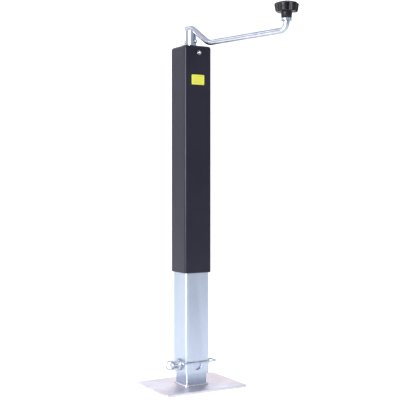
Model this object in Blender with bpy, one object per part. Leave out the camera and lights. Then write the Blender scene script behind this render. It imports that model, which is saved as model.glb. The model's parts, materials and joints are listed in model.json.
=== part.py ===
"""Square drop-leg trailer tongue jack with a removable top crank.

Frame: metres, +Z up along the lead screw, origin at the centre of the foot plate's underside.
-Y is the face with the grease fitting and the label, -X is the side of the leg pin's head.
The jack stands at rest with its leg part way out and its crank arm swung to CRANK_ANGLE.
"""

import math

import bmesh
import bpy
from mathutils import Matrix, Vector

MM = 0.001

# ---- clearances -------------------------------------------------------------------------------
GAP = 0.3 * MM                   # between pieces that touch, are welded or are pressed together
SLIDE_GAP = 0.5 * MM             # per side between one square tube and the next
RUNNING_GAP = 0.3 * MM           # radial, between a shaft and its bore
PIN_PLAY = 1.0 * MM              # radial, between the leg pin and its holes

# ---- outer tube, inner tube and drop leg --------------------------------------------------------
OUTER_SIDE = 63.5 * MM
OUTER_WALL = 3.0 * MM
INNER_WALL = 3.2 * MM
LEG_WALL = 3.0 * MM
TUBE_CORNER = 5.5 * MM           # outside corner radius of the outer tube
OUTER_LENGTH = 475.5 * MM        # from the tube's lower edge to the top of the cap
INNER_LENGTH = 430.0 * MM
LEG_LENGTH = 275.0 * MM
INNER_SHOWS = 213.0 * MM         # how far the inner tube stands out of the outer tube at rest
LEG_SHOWS = 25.0 * MM            # how far the drop leg stands out of the inner tube at rest

# ---- foot ---------------------------------------------------------------------------------------
FOOT_LENGTH = 190.0 * MM
FOOT_WIDTH = 142.0 * MM
FOOT_THICKNESS = 5.0 * MM
FOOT_CORNER = 2.5 * MM
WELD_LEG = 4.5 * MM              # side of the fillet weld between the leg and the foot
WELD_SWELL = 0.62                # share of that side where the weld's rounded face bulges out

# ---- cap and thrust bearing -----------------------------------------------------------------------
CAP_SKIRT = 8.0 * MM
CAP_PLATE = 4.5 * MM
CAP_EDGE = 6.0 * MM              # rounding of the cap's top edge
BEARING_PLATE = 8.0 * MM
BUSH_WALL = 3.5 * MM
RACE_WIDTH = 10.0 * MM
RACE_HEIGHT = 4.5 * MM
GROOVE_DEPTH = 1.0 * MM
BALL_DIAMETER = 6.0 * MM
BALL_COUNT = 8
CAGE_HEIGHT = 2.0 * MM
CAGE_EDGE = 1.0 * MM             # how far the cage stays inside the races' edges
COLLAR_HEIGHT = 10.0 * MM
COLLAR_WALL = 9.0 * MM
COLLAR_PIN_DIAMETER = 5.0 * MM
CROSS_PIN_CHAMFER = 0.5 * MM
SEAL_HEIGHT = 2.0 * MM
SEAL_WALL = 3.0 * MM

# ---- lead screw and nut -----------------------------------------------------------------------------
THREAD_DIAMETER = 22.0 * MM
THREAD_DEPTH = 2.0 * MM
THREAD_PITCH = 5.0 * MM
JOURNAL_DIAMETER = 16.0 * MM
TURNS_OUT = 26                   # crank turns from rest to fully extended
SCREW_OVERRUN = 10.0 * MM        # thread left below the nut when the leg is fully out
SCREW_PLAIN = 21.1 * MM          # plain length between the thread and the collar
SCREW_END = 13.0 * MM            # plain end below the thread
SCREW_ABOVE_PIN = 12.0 * MM      # from the crank pin's axis to the screw's top
STOP_WASHER_WALL = 9.0 * MM
STOP_WASHER_HEIGHT = 4.0 * MM
STOP_PIN_DIAMETER = 4.0 * MM
STOP_PIN_INSET = 2.0 * MM        # of the stop pin's ends from the washer's edge
NUT_PLATE_HEIGHT = 5.0 * MM
NUT_FLANGE_HEIGHT = 14.5 * MM
NUT_FLANGE_DIAMETER = 44.0 * MM
NUT_SPIGOT_LENGTH = 15.0 * MM
NUT_WALL = 5.0 * MM

# ---- leg pin and its spring wire bail -----------------------------------------------------------------
PIN_HEIGHT = 18.0 * MM           # pin axis above the inner tube's lower edge
PIN_DIAMETER = 16.0 * MM
PIN_TIP_DIAMETER = 10.0 * MM
PIN_TIP_LENGTH = 6.0 * MM
PIN_STANDS_OUT = 14.8 * MM       # of the inner tube, at the tip
PIN_FLANGE_DIAMETER = 24.0 * MM
PIN_FLANGE_HEIGHT = 4.0 * MM
PIN_HEAD_DIAMETER = 14.5 * MM
PIN_HEAD_LENGTH = 15.3 * MM
PIN_HOLE_SPACING = 50.0 * MM
PIN_HOLE_COUNT = 5
PIN_CHAMFER = 0.8 * MM           # on the ends of the leg pin and of the crank pin
BAIL_WIRE = 2.6 * MM
BAIL_HOLE_PLAY = 0.5 * MM        # radial, round the wire in the pin's head
BAIL_PIVOT_INSET = 6.0 * MM      # from the end of the head to the bail's pivot
BAIL_LOOP_REACH = 3.0 * MM       # straight length of the loop beyond the head
BAIL_DROP = 2.2 * MM             # the long side lies this much lower than the loop's top
BAIL_STANDOFF = 1.5 * MM         # between the wire and the tube's front face
BAIL_CORNER = 6.0 * MM
BAIL_LEAD = 5.5 * MM             # from the tube's side face to the bend onto its front
BAIL_TIGHT_BEND = 1.6            # radius of the sharp bend in the head, in wire radii
BAIL_FIRST_BEND = 0.6            # share of BAIL_CORNER at the bend after the loop
BAIL_LAST_BEND = 0.5             # share of BAIL_CORNER at the hook
BAIL_HOOK = 9.0 * MM             # how far the wire hooks down over the pin's tip

# ---- crank --------------------------------------------------------------------------------------------
CRANK_ANGLE = math.radians(-70.5)
CRANK_RADIUS = 245.0 * MM
ROD_DIAMETER = 12.0 * MM
ROD_TAIL = 14.0 * MM             # behind the screw's axis
ROD_SHOULDER = 3.5 * MM          # from the screw's axis to the corner of the first bend
ROD_ELBOW = 48.5 * MM            # from the screw's axis to the corner of the second bend, outside the cap
ARM_HEIGHT = 4.4 * MM            # of the elbow's centre line above the top of the cap
ROD_RISE = 5.3 * MM              # of the arm from its elbow to the knob's end
ROD_SHOULDER_BEND = 12.0 * MM    # centreline radius of the bend over the socket
ROD_ELBOW_BEND = 26.0 * MM       # centreline radius of the bend outside the cap
ROD_CHAMFER = 1.0 * MM
HANDLE_BEND = 15.2 * MM          # centreline radius of the bend up to the knob
HANDLE_STRAIGHT = 1.2 * MM       # from that bend to the ferrule's seat
SOCKET_WALL = 3.0 * MM
SOCKET_HEIGHT = 31.8 * MM
SADDLE_DEPTH = 1.0 * MM          # how deep the rod sits in the notched rim of the socket
CRANK_PIN_DIAMETER = 6.0 * MM
CRANK_PIN_HEIGHT = 8.6 * MM      # above the socket's lower edge
CRANK_PIN_TIP = 4.2 * MM         # beyond the socket at the arm's side
CRANK_PIN_HEAD = 9.0 * MM        # length of the head behind the socket
CRANK_PIN_HEAD_DIAMETER = 8.0 * MM
CRANK_PIN_SHOULDER = 3.0 * MM    # length of the round part of the head, before the flat tang
TANG_THICKNESS = 3.0 * MM
RING_DIAMETER = 12.0 * MM
RING_WIRE = 1.8 * MM
RING_HOLE_PLAY = 0.5 * MM
RING_HOLE_WALL = 1.3 * MM        # left between the ring's hole and the end of the tang

# ---- knob -------------------------------------------------------------------------------------------------
KNOB_DIAMETER = 48.4 * MM
KNOB_VALLEY_DIAMETER = 37.0 * MM
KNOB_LOBES = 6
KNOB_LOBE_TURN = math.radians(-10.0)
KNOB_LOBE_FULLNESS = 2.6         # exponent that makes the lobes broad and the valleys narrow
KNOB_LOBE_HEIGHT = 17.0 * MM
KNOB_CROWN = 2.8 * MM            # how far the top rises from the lobes to the pocket
KNOB_CROWN_RADIUS = 13.0 * MM
KNOB_DRAFT = 2.0 * MM            # the lobes are narrower by this at the bottom
KNOB_EDGE = 2.0 * MM
KNOB_NECK_HEIGHT = 11.0 * MM
KNOB_NECK_DIAMETER = 20.4 * MM
KNOB_NECK_TOP_DIAMETER = 22.0 * MM
TENON_DIAMETER = 8.0 * MM
FERRULE_DIAMETER = 21.0 * MM
FERRULE_HEIGHT = 6.0 * MM
FERRULE_WALL = 1.6 * MM
KNOB_POCKET_DIAMETER = 16.0 * MM
KNOB_POCKET_DEPTH = 5.5 * MM
KNOB_CAP_HEIGHT = 1.8 * MM
KNOB_CAP_CHAMFER = 0.5 * MM
RETAINER_HEIGHT = 1.2 * MM

# ---- fitting and label ---------------------------------------------------------------------------------------
FITTING_BELOW_TOP = 15.7 * MM
FITTING_THREAD_DIAMETER = 6.0 * MM
FITTING_HEX = 9.0 * MM           # across the flats
FITTING_HEX_HEIGHT = 3.0 * MM
FITTING_NIPPLE_DIAMETER = 6.6 * MM
FITTING_NIPPLE_LENGTH = 5.0 * MM
FITTING_WAIST = 0.72             # of the nipple's waist, as a share of its radius
FITTING_TIP = 0.45               # of its flat tip, as a share of its radius
LABEL_WIDTH = 30.0 * MM
LABEL_HEIGHT = 20.5 * MM
LABEL_THICKNESS = 0.3 * MM
LABEL_CORNER = 1.0 * MM
LABEL_BELOW_TOP = 71.8 * MM      # to the label's centre
LABEL_SIDEWAYS = -1.5 * MM

# ---- sides of the faceted shapes ---------------------------------------------------------------------------------
CORNER_STEPS = 4
ROUND = 32
SMALL_ROUND = 16
WIRE_ROUND = 8
THREAD_STEPS = 8                 # per turn
GROOVE_STEPS = 6                 # across a ball groove
FITTING_ROUND = 12
DRILL_PHASE = 0.37               # of a facet, so that no hole's edges meet those of the piece it is in
HOLE_ROUND = 24                  # round the leg pin, its holes and the pull ring
KNOB_LOBE_STEPS = 8              # per lobe
ROD_STEP = math.radians(11.25)   # between the rings of a bend in the rod
WIRE_STEP = math.radians(18.0)   # between the rings of a bend in the wire

# ---- sizes that follow from the ones above ----------------------------------------------------------------------
inner_side = OUTER_SIDE - 2 * (OUTER_WALL + SLIDE_GAP)
leg_side = inner_side - 2 * (INNER_WALL + SLIDE_GAP)
leg_bottom = FOOT_THICKNESS + GAP
leg_top = leg_bottom + LEG_LENGTH
inner_bottom = FOOT_THICKNESS + LEG_SHOWS
inner_top = inner_bottom + INNER_LENGTH
outer_bottom = inner_bottom + INNER_SHOWS
cap_top = outer_bottom + OUTER_LENGTH
outer_top = cap_top - CAP_SKIRT - GAP
pin_z = inner_bottom + PIN_HEIGHT

bore_radius = JOURNAL_DIAMETER / 2 + RUNNING_GAP
bush_radius = bore_radius + BUSH_WALL
plate_top = cap_top - CAP_PLATE - GAP
plate_bottom = plate_top - BEARING_PLATE
race_inner = bore_radius + RUNNING_GAP
race_outer = race_inner + RACE_WIDTH
ball_circle = (race_inner + race_outer) / 2
upper_race_bottom = plate_bottom - GAP - RACE_HEIGHT
ball_z = upper_race_bottom + GROOVE_DEPTH - GAP - BALL_DIAMETER / 2
lower_race_top = ball_z - BALL_DIAMETER / 2 - GAP + GROOVE_DEPTH
lower_race_bottom = lower_race_top - RACE_HEIGHT
collar_top = lower_race_bottom - GAP
collar_bottom = collar_top - COLLAR_HEIGHT
collar_radius = bore_radius + COLLAR_WALL

screw_radius = THREAD_DIAMETER / 2
nut_plate_top = inner_top + GAP + NUT_PLATE_HEIGHT
nut_top = nut_plate_top + GAP + NUT_FLANGE_HEIGHT
nut_bottom = nut_plate_top + GAP - NUT_PLATE_HEIGHT - NUT_SPIGOT_LENGTH
nut_bore = screw_radius + RUNNING_GAP
nut_spigot_radius = nut_bore + NUT_WALL
thread_bottom = nut_bottom - TURNS_OUT * THREAD_PITCH - SCREW_OVERRUN
thread_top = collar_bottom - GAP - SCREW_PLAIN - THREAD_PITCH
screw_bottom = thread_bottom - SCREW_END

seal_bottom = cap_top + GAP
seal_top = seal_bottom + SEAL_HEIGHT
socket_bottom = seal_top + GAP
socket_top = socket_bottom + SOCKET_HEIGHT
socket_radius = bore_radius + SOCKET_WALL
crank_pin_z = socket_bottom + CRANK_PIN_HEIGHT
rod_radius = ROD_DIAMETER / 2
rod_top_z = socket_top - SADDLE_DEPTH + rod_radius
arm_z = cap_top + ARM_HEIGHT
arm_end_z = arm_z + ROD_RISE
seat_z = arm_end_z + HANDLE_BEND + HANDLE_STRAIGHT
knob_bottom = seat_z + GAP + FERRULE_HEIGHT + GAP
knob_top = knob_bottom + KNOB_NECK_HEIGHT + KNOB_LOBE_HEIGHT + KNOB_CROWN
pocket_floor = knob_top - KNOB_POCKET_DEPTH
tenon_top = pocket_floor + GAP + RETAINER_HEIGHT

fitting_z = cap_top - FITTING_BELOW_TOP
label_z = cap_top - LABEL_BELOW_TOP


# ---- helpers --------------------------------------------------------------------------------------------------------
def clear_scene():
    """Empties the scene of whatever it holds."""
    for obj in list(bpy.data.objects):
        bpy.data.objects.remove(obj, do_unlink=True)


def material(name, color, roughness, metallic):
    """A Principled BSDF material with one colour, roughness and metallic value."""
    made = bpy.data.materials.new(name)
    made.use_nodes = True
    shader = made.node_tree.nodes["Principled BSDF"]
    shader.inputs["Base Color"].default_value = (*color, 1.0)
    shader.inputs["Roughness"].default_value = roughness
    shader.inputs["Metallic"].default_value = metallic
    return made


def make_object(name, bm, look, location=(0, 0, 0), parent=None):
    """Turns a bmesh into a named object with its faces pointing out and its round faces smooth."""
    bmesh.ops.recalc_face_normals(bm, faces=bm.faces)
    mesh = bpy.data.meshes.new(name)
    bm.to_mesh(mesh)
    bm.free()
    mesh.shade_smooth()
    mesh.set_sharp_from_angle(angle=math.radians(35))
    obj = bpy.data.objects.new(name, mesh)
    if look is not None:
        mesh.materials.append(look)
    obj.location = location
    obj.parent = parent
    bpy.context.scene.collection.objects.link(obj)
    return obj


def make_pivot(name, location, angle=0.0, parent=None):
    """An empty that stands on a joint's axis and carries the pieces that move with it."""
    pivot = bpy.data.objects.new(name, None)
    pivot.location = location
    pivot.rotation_euler = (0, 0, angle)
    pivot.parent = parent
    bpy.context.scene.collection.objects.link(pivot)
    return pivot


def cut(obj, bm, name, parent=None):
    """Takes a closed shape away from an object with a Boolean, and hides the shape as a cutter."""
    cutter = make_object(name, bm, None, parent=parent)
    cutter.hide_render = True
    cutter.display_type = "WIRE"
    modifier = obj.modifiers.new(name, "BOOLEAN")
    modifier.operation = "DIFFERENCE"
    modifier.solver = "EXACT"
    modifier.object = cutter
    return cutter


def rounded_square(side_x, side_y, radius):
    """Outline of a rectangle with round corners, anticlockwise round the Z axis."""
    points = []
    for turn, (sign_x, sign_y) in enumerate([(1, 1), (-1, 1), (-1, -1), (1, -1)]):
        for step in range(CORNER_STEPS + 1):
            angle = math.radians(90 * (turn + step / CORNER_STEPS))
            points.append((
                sign_x * (side_x / 2 - radius) + radius * math.cos(angle),
                sign_y * (side_y / 2 - radius) + radius * math.sin(angle),
            ))
    return points


def ring_of(bm, outline, z):
    """A ring of vertices along an outline at one height."""
    return [bm.verts.new((x, y, z)) for x, y in outline]


def bridge(bm, lower, upper):
    """Quads between two rings with the same number of vertices."""
    count = len(lower)
    for i in range(count):
        j = (i + 1) % count
        bm.faces.new((lower[i], lower[j], upper[j], upper[i]))


def prism(outline, z0, z1):
    """A solid block with an outline, from one height to another."""
    bm = bmesh.new()
    low, high = ring_of(bm, outline, z0), ring_of(bm, outline, z1)
    bridge(bm, low, high)
    bm.faces.new(low)
    bm.faces.new(high)
    return bm


def tube(outside, inside, z0, z1):
    """A hollow tube between two outlines that have the same number of points."""
    bm = bmesh.new()
    rings = [ring_of(bm, outside, z0), ring_of(bm, outside, z1), ring_of(bm, inside, z1), ring_of(bm, inside, z0)]
    for i in range(4):
        bridge(bm, rings[i], rings[(i + 1) % 4])
    return bm


def turned(profile, sides, axis="Z", phase=0.0):
    """A turned solid. The profile is (radius, height) points: closed where no radius is 0, else from axis to axis.
    The phase turns its facets, as a share of one facet."""
    bm = bmesh.new()
    rows = []
    step = 2 * math.pi / sides
    for radius, height in profile:
        if radius == 0:
            rows.append([bm.verts.new((0, 0, height))])
            continue
        rows.append([
            bm.verts.new((radius * math.cos(step * (i + phase)), radius * math.sin(step * (i + phase)), height))
            for i in range(sides)
        ])
    closed = all(radius > 0 for radius, _ in profile)
    pairs = list(zip(rows, rows[1:])) + ([(rows[-1], rows[0])] if closed else [])
    for first, second in pairs:
        if len(first) == 1:
            for i in range(sides):
                bm.faces.new((first[0], second[i], second[(i + 1) % sides]))
        elif len(second) == 1:
            for i in range(sides):
                bm.faces.new((first[i], first[(i + 1) % sides], second[0]))
        else:
            bridge(bm, first, second)
    if axis == "X":
        bmesh.ops.rotate(bm, verts=bm.verts, matrix=Matrix.Rotation(math.pi / 2, 3, "Y"))
    if axis == "Y":
        bmesh.ops.rotate(bm, verts=bm.verts, matrix=Matrix.Rotation(math.pi / 2, 3, "X"))
    return bm


def washer(inner, outer, z0, z1, sides):
    """A flat ring."""
    return turned([(outer, z0), (outer, z1), (inner, z1), (inner, z0)], sides)


def drill(radius, length, centre, axis, sides=SMALL_ROUND):
    """A cylinder used as a cutter, centred on a point and lying along an axis. Its facets are turned a little,
    so that its edges don't fall on the edges of what it cuts."""
    profile = [(0, -length / 2), (radius, -length / 2), (radius, length / 2), (0, length / 2)]
    bm = turned(profile, sides, axis, phase=DRILL_PHASE)
    bmesh.ops.translate(bm, verts=bm.verts, vec=centre)
    return bm


def round_bar(radius, length, chamfer, sides, axis):
    """A straight pin with chamfered ends, centred on the origin."""
    half = length / 2
    profile = [
        (0, -half),
        (radius - chamfer, -half),
        (radius, -half + chamfer),
        (radius, half - chamfer),
        (radius - chamfer, half),
        (0, half),
    ]
    return turned(profile, sides, axis)


def bent_path(corners, radii, step_angle):
    """Points along a bent bar: straight runs between corners, with an arc of the given radius at each inner corner."""
    points = [Vector(corners[0])]
    for before, corner, after, radius in zip(corners, corners[1:], corners[2:], radii):
        before, corner, after = Vector(before), Vector(corner), Vector(after)
        incoming = (corner - before).normalized()
        outgoing = (after - corner).normalized()
        bend = incoming.angle(outgoing)
        normal = incoming.cross(outgoing).normalized()
        start = corner - incoming * radius * math.tan(bend / 2)
        centre = start + normal.cross(incoming) * radius
        steps = max(2, math.ceil(bend / step_angle))
        for i in range(steps + 1):
            turn = Matrix.Rotation(bend * i / steps, 3, normal)
            points.append(centre + turn @ (start - centre))
    points.append(Vector(corners[-1]))
    return points


def swept(points, radii, sides):
    """A round bar along a path. Two radii at one place make a shoulder."""
    bm = bmesh.new()
    tangents = []
    for i in range(len(points)):
        ahead, behind = points[min(i + 1, len(points) - 1)], points[max(i - 1, 0)]
        tangents.append((ahead - behind).normalized())
    side = tangents[0].orthogonal().normalized()
    rings = []
    for point, tangent, radius in zip(points, tangents, radii):
        side = (side - tangent * side.dot(tangent)).normalized()
        other = tangent.cross(side)
        rings.append([
            bm.verts.new(
                point
                + side * radius * math.cos(2 * math.pi * i / sides)
                + other * radius * math.sin(2 * math.pi * i / sides)
            )
            for i in range(sides)
        ])
    for first, second in zip(rings, rings[1:]):
        bridge(bm, first, second)
    bm.faces.new(rings[0])
    bm.faces.new(rings[-1])
    return bm


# ---- materials ---------------------------------------------------------------------------------------------------------
def make_materials():
    """One look for each kind of surface on the jack."""
    return {
        "black_paint": material("black_paint", (0.018, 0.018, 0.024), 0.38, 0.0),
        "zinc_plate": material("zinc_plate", (0.62, 0.66, 0.74), 0.32, 1.0),
        "foot_zinc": material("foot_zinc", (0.66, 0.64, 0.66), 0.42, 1.0),
        "chrome": material("chrome", (0.80, 0.83, 0.86), 0.16, 1.0),
        "black_plastic": material("black_plastic", (0.012, 0.012, 0.014), 0.35, 0.0),
        "label_yellow": material("label_yellow", (0.86, 0.78, 0.06), 0.45, 0.0),
        "steel": material("steel", (0.42, 0.43, 0.45), 0.35, 1.0),
        "bronze": material("bronze", (0.55, 0.36, 0.16), 0.38, 1.0),
        "rubber": material("rubber", (0.02, 0.02, 0.02), 0.75, 0.0),
    }


# ---- housing --------------------------------------------------------------------------------------------------------------
def make_outer_tube(looks):
    """The black square tube, with a hole for the grease fitting."""
    inside = OUTER_SIDE - 2 * OUTER_WALL
    bm = tube(
        rounded_square(OUTER_SIDE, OUTER_SIDE, TUBE_CORNER),
        rounded_square(inside, inside, TUBE_CORNER - OUTER_WALL),
        outer_bottom,
        outer_top,
    )
    obj = make_object("outer_tube", bm, looks["black_paint"])
    hole = drill(
        FITTING_THREAD_DIAMETER / 2 + RUNNING_GAP,
        4 * OUTER_WALL,
        (0, -OUTER_SIDE / 2, fitting_z),
        "Y",
    )
    cut(obj, hole, "fitting_hole")


def make_top_cap(looks):
    """The pressed cap: a shallow cup with a rounded top edge and a hole for the bush."""
    inside = OUTER_SIDE - 2 * OUTER_WALL
    inner_corner = TUBE_CORNER - OUTER_WALL
    skirt_bottom = outer_top + GAP
    bm = bmesh.new()
    rings = [ring_of(bm, rounded_square(inside, inside, inner_corner), cap_top - CAP_PLATE)]
    rings.append(ring_of(bm, rounded_square(inside, inside, inner_corner), skirt_bottom))
    rings.append(ring_of(bm, rounded_square(OUTER_SIDE, OUTER_SIDE, TUBE_CORNER), skirt_bottom))
    for step in range(CORNER_STEPS + 1):
        angle = math.radians(90 * step / CORNER_STEPS)
        inset = CAP_EDGE * (1 - math.cos(angle))
        side = OUTER_SIDE - 2 * inset
        corner = max(TUBE_CORNER - inset, TUBE_CORNER / 4)
        rings.append(ring_of(bm, rounded_square(side, side, corner), cap_top - CAP_EDGE * (1 - math.sin(angle))))
    for lower, upper in zip(rings, rings[1:]):
        bridge(bm, lower, upper)
    bm.faces.new(rings[0])
    bm.faces.new(rings[-1])
    obj = make_object("top_cap", bm, looks["black_paint"])
    cut(obj, drill(bush_radius + GAP, 4 * CAP_PLATE, (0, 0, cap_top), "Z", ROUND), "cap_hole")


def make_bearing_plate(looks):
    """The thick plate under the cap that takes the thrust."""
    side = OUTER_SIDE - 2 * OUTER_WALL - 2 * GAP
    bm = prism(rounded_square(side, side, TUBE_CORNER - OUTER_WALL), plate_bottom, plate_top)
    obj = make_object("bearing_plate", bm, looks["steel"])
    cut(obj, drill(bush_radius + GAP, 4 * BEARING_PLATE, (0, 0, plate_top), "Z", ROUND), "plate_hole")


def make_shaft_bush(looks):
    """The bronze bush that the screw's journal turns in."""
    bm = washer(bore_radius, bush_radius, plate_bottom, cap_top, ROUND)
    make_object("shaft_bush", bm, looks["bronze"])


def race_profile(back, face, groove_sign):
    """Section of a bearing race: a flat back and a face with a shallow ball groove."""
    groove_radius = BALL_DIAMETER / 2 + GAP
    half_width = math.sqrt(groove_radius**2 - (groove_radius - GROOVE_DEPTH) ** 2)
    centre = face - groove_sign * (groove_radius - GROOVE_DEPTH)
    half_angle = math.asin(half_width / groove_radius)
    profile = [(race_inner, back), (race_outer, back), (race_outer, face)]
    for i in range(GROOVE_STEPS + 1):
        angle = half_angle * (1 - 2 * i / GROOVE_STEPS)
        profile.append((
            ball_circle + groove_radius * math.sin(angle),
            centre + groove_sign * groove_radius * math.cos(angle),
        ))
    profile.append((race_inner, face))
    return profile


def make_upper_race(looks):
    """The fixed race of the thrust bearing."""
    bm = turned(race_profile(plate_bottom - GAP, upper_race_bottom, 1), ROUND)
    make_object("upper_race", bm, looks["steel"])


def make_grease_fitting(looks):
    """The grease nipple in the front face: threaded shank, hexagon and ball-ended nipple."""
    outside = OUTER_SIDE / 2 + GAP
    thread = FITTING_THREAD_DIAMETER / 2
    nipple = FITTING_NIPPLE_DIAMETER / 2
    hex_end = outside + FITTING_HEX_HEIGHT
    tip = hex_end + FITTING_NIPPLE_LENGTH
    bm = turned(
        [
            (0, OUTER_SIDE / 2 - OUTER_WALL),
            (thread, OUTER_SIDE / 2 - OUTER_WALL),
            (thread, outside),
            (FITTING_HEX / 2 / math.cos(math.pi / 6), outside),
            (FITTING_HEX / 2 / math.cos(math.pi / 6), hex_end),
            (nipple * FITTING_WAIST, hex_end),
            (nipple * FITTING_WAIST, hex_end + FITTING_NIPPLE_LENGTH / 3),
            (nipple, hex_end + FITTING_NIPPLE_LENGTH / 2),
            (nipple, hex_end + FITTING_NIPPLE_LENGTH * 3 / 4),
            (nipple * FITTING_TIP, tip),
            (0, tip),
        ],
        FITTING_ROUND,
        "Y",
    )
    for vert in bm.verts:
        reach = -vert.co.y
        if outside - MM / 10 < reach < hex_end + MM / 10 and math.hypot(vert.co.x, vert.co.z) > nipple:
            angle = math.atan2(vert.co.z, vert.co.x)
            to_flat = (angle + math.pi / 6) % (math.pi / 3) - math.pi / 6
            scale = math.cos(math.pi / 6) / math.cos(to_flat)
            vert.co.x *= scale
            vert.co.z *= scale
    make_object("grease_fitting", bm, looks["chrome"], location=(0, 0, fitting_z))


def make_rating_label(looks):
    """The plain yellow label on the front face, with nothing written on it."""
    bm = prism(rounded_square(LABEL_WIDTH, LABEL_HEIGHT, LABEL_CORNER), 0, LABEL_THICKNESS)
    bmesh.ops.rotate(bm, verts=bm.verts, matrix=Matrix.Rotation(math.pi / 2, 3, "X"))
    place = (LABEL_SIDEWAYS, -OUTER_SIDE / 2 - GAP, label_z)
    make_object("rating_label", bm, looks["label_yellow"], location=place)


# ---- thrust bearing that turns ----------------------------------------------------------------------------------------------
def make_bearing(looks, bearing):
    """The cage and its balls, which roll round at half the speed of the screw."""
    inner, outer = race_inner + CAGE_EDGE, race_outer - CAGE_EDGE
    bm = washer(inner, outer, ball_z - CAGE_HEIGHT / 2, ball_z + CAGE_HEIGHT / 2, ROUND)
    cage = make_object("ball_cage", bm, looks["bronze"], parent=bearing)
    for i in range(BALL_COUNT):
        angle = 2 * math.pi * i / BALL_COUNT
        place = (ball_circle * math.cos(angle), ball_circle * math.sin(angle), ball_z)
        pocket = drill(BALL_DIAMETER / 2 + RUNNING_GAP, 3 * CAGE_HEIGHT, place, "Z")
        cut(cage, pocket, f"pocket_{i + 1}", parent=bearing)
        ball = bmesh.new()
        bmesh.ops.create_icosphere(ball, subdivisions=2, radius=BALL_DIAMETER / 2)
        make_object(f"bearing_ball_{i + 1}", ball, looks["steel"], location=place, parent=bearing)


# ---- screw and what turns with it ----------------------------------------------------------------------------------------------
def thread_rows(bm, root, crest, z0, z1):
    """Vertices of one V-shaped helical ridge: a row along its root and a row along its crest."""
    stations = round((z1 - z0) / THREAD_PITCH * THREAD_STEPS)
    roots, crests = [], []
    for k in range(stations + 1):
        angle = 2 * math.pi * k / THREAD_STEPS
        height = z0 + THREAD_PITCH * k / THREAD_STEPS
        roots.append(bm.verts.new((root * math.cos(angle), root * math.sin(angle), height)))
        if k <= stations - THREAD_STEPS:
            lift = height + THREAD_PITCH / 2
            crests.append(bm.verts.new((crest * math.cos(angle), crest * math.sin(angle), lift)))
    return roots, crests


def close_end(bm, ring, ledge, step_face):
    """Faces between a plain ring and the helical end of a thread, whose ledge climbs one pitch in a turn."""
    count = len(ring)
    for i in range(count - 1):
        bm.faces.new((ring[i], ring[i + 1], ledge[i + 1], ledge[i]))
    bm.faces.new((ring[-1], ring[0], *step_face[0]))
    bm.faces.new(step_face[1])


def make_lead_screw(looks, crank):
    """The lead screw: plain lower end, helical thread, shoulder under the collar and long journal."""
    root = screw_radius - THREAD_DEPTH
    journal = JOURNAL_DIAMETER / 2
    bm = bmesh.new()
    roots, crests = thread_rows(bm, root, screw_radius, thread_bottom, thread_top)
    last = len(crests) - 1
    for k in range(last):
        bm.faces.new((roots[k], roots[k + 1], crests[k + 1], crests[k]))
        bm.faces.new((crests[k], crests[k + 1], roots[k + 1 + THREAD_STEPS], roots[k + THREAD_STEPS]))

    def plain_ring(radius, height, first):
        return [
            bm.verts.new((
                radius * math.cos(2 * math.pi * (first + i) / THREAD_STEPS),
                radius * math.sin(2 * math.pi * (first + i) / THREAD_STEPS),
                height,
            ))
            for i in range(THREAD_STEPS)
        ]

    lower = plain_ring(root, thread_bottom - THREAD_PITCH / 2, 0)
    ledge = roots[: THREAD_STEPS + 1]
    close_end(bm, lower, ledge, (
        (ledge[0], ledge[-1], ledge[-2]),
        (ledge[0], crests[0], ledge[-1]),
    ))
    upper = plain_ring(root, thread_top + THREAD_PITCH / 2, last)
    ledge = roots[last:]
    for i in range(1, THREAD_STEPS):
        after = upper[(i + 1) % THREAD_STEPS]
        bm.faces.new((ledge[i], ledge[i + 1], after, upper[i]))
    bm.faces.new((ledge[0], ledge[1], upper[1], upper[0], ledge[-1]))
    bm.faces.new((ledge[0], ledge[-1], crests[last]))

    def stack(start, stations, first):
        ring = start
        for radius, height in stations:
            after = plain_ring(radius, height, first)
            bridge(bm, ring, after)
            ring = after
        bm.faces.new(ring)

    stack(lower, [(journal, thread_bottom - THREAD_PITCH / 2), (journal, screw_bottom)], 0)
    shoulder = collar_bottom - GAP
    stack(
        upper,
        [
            (screw_radius, thread_top + THREAD_PITCH),
            (screw_radius, shoulder),
            (journal, shoulder),
            (journal, crank_pin_z + SCREW_ABOVE_PIN),
        ],
        last,
    )
    obj = make_object("lead_screw", bm, looks["steel"], parent=crank)
    holes = [
        ("crank_pin_bore", CRANK_PIN_DIAMETER, crank_pin_z, "X"),
        ("collar_pin_bore", COLLAR_PIN_DIAMETER, (collar_top + collar_bottom) / 2, "Y"),
        ("stop_pin_bore", STOP_PIN_DIAMETER, stop_pin_z(), "Y"),
    ]
    for name, diameter, height, axis in holes:
        hole = drill(diameter / 2 + RUNNING_GAP, 2 * THREAD_DIAMETER, (0, 0, height), axis)
        cut(obj, hole, name, parent=crank)


def stop_washer_top():
    """Height of the stop washer's top face, just under the thread."""
    return thread_bottom - THREAD_PITCH / 2 - GAP


def stop_pin_z():
    """Height of the pin that holds the stop washer on the screw."""
    return stop_washer_top() - STOP_WASHER_HEIGHT - GAP - STOP_PIN_DIAMETER / 2


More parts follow.
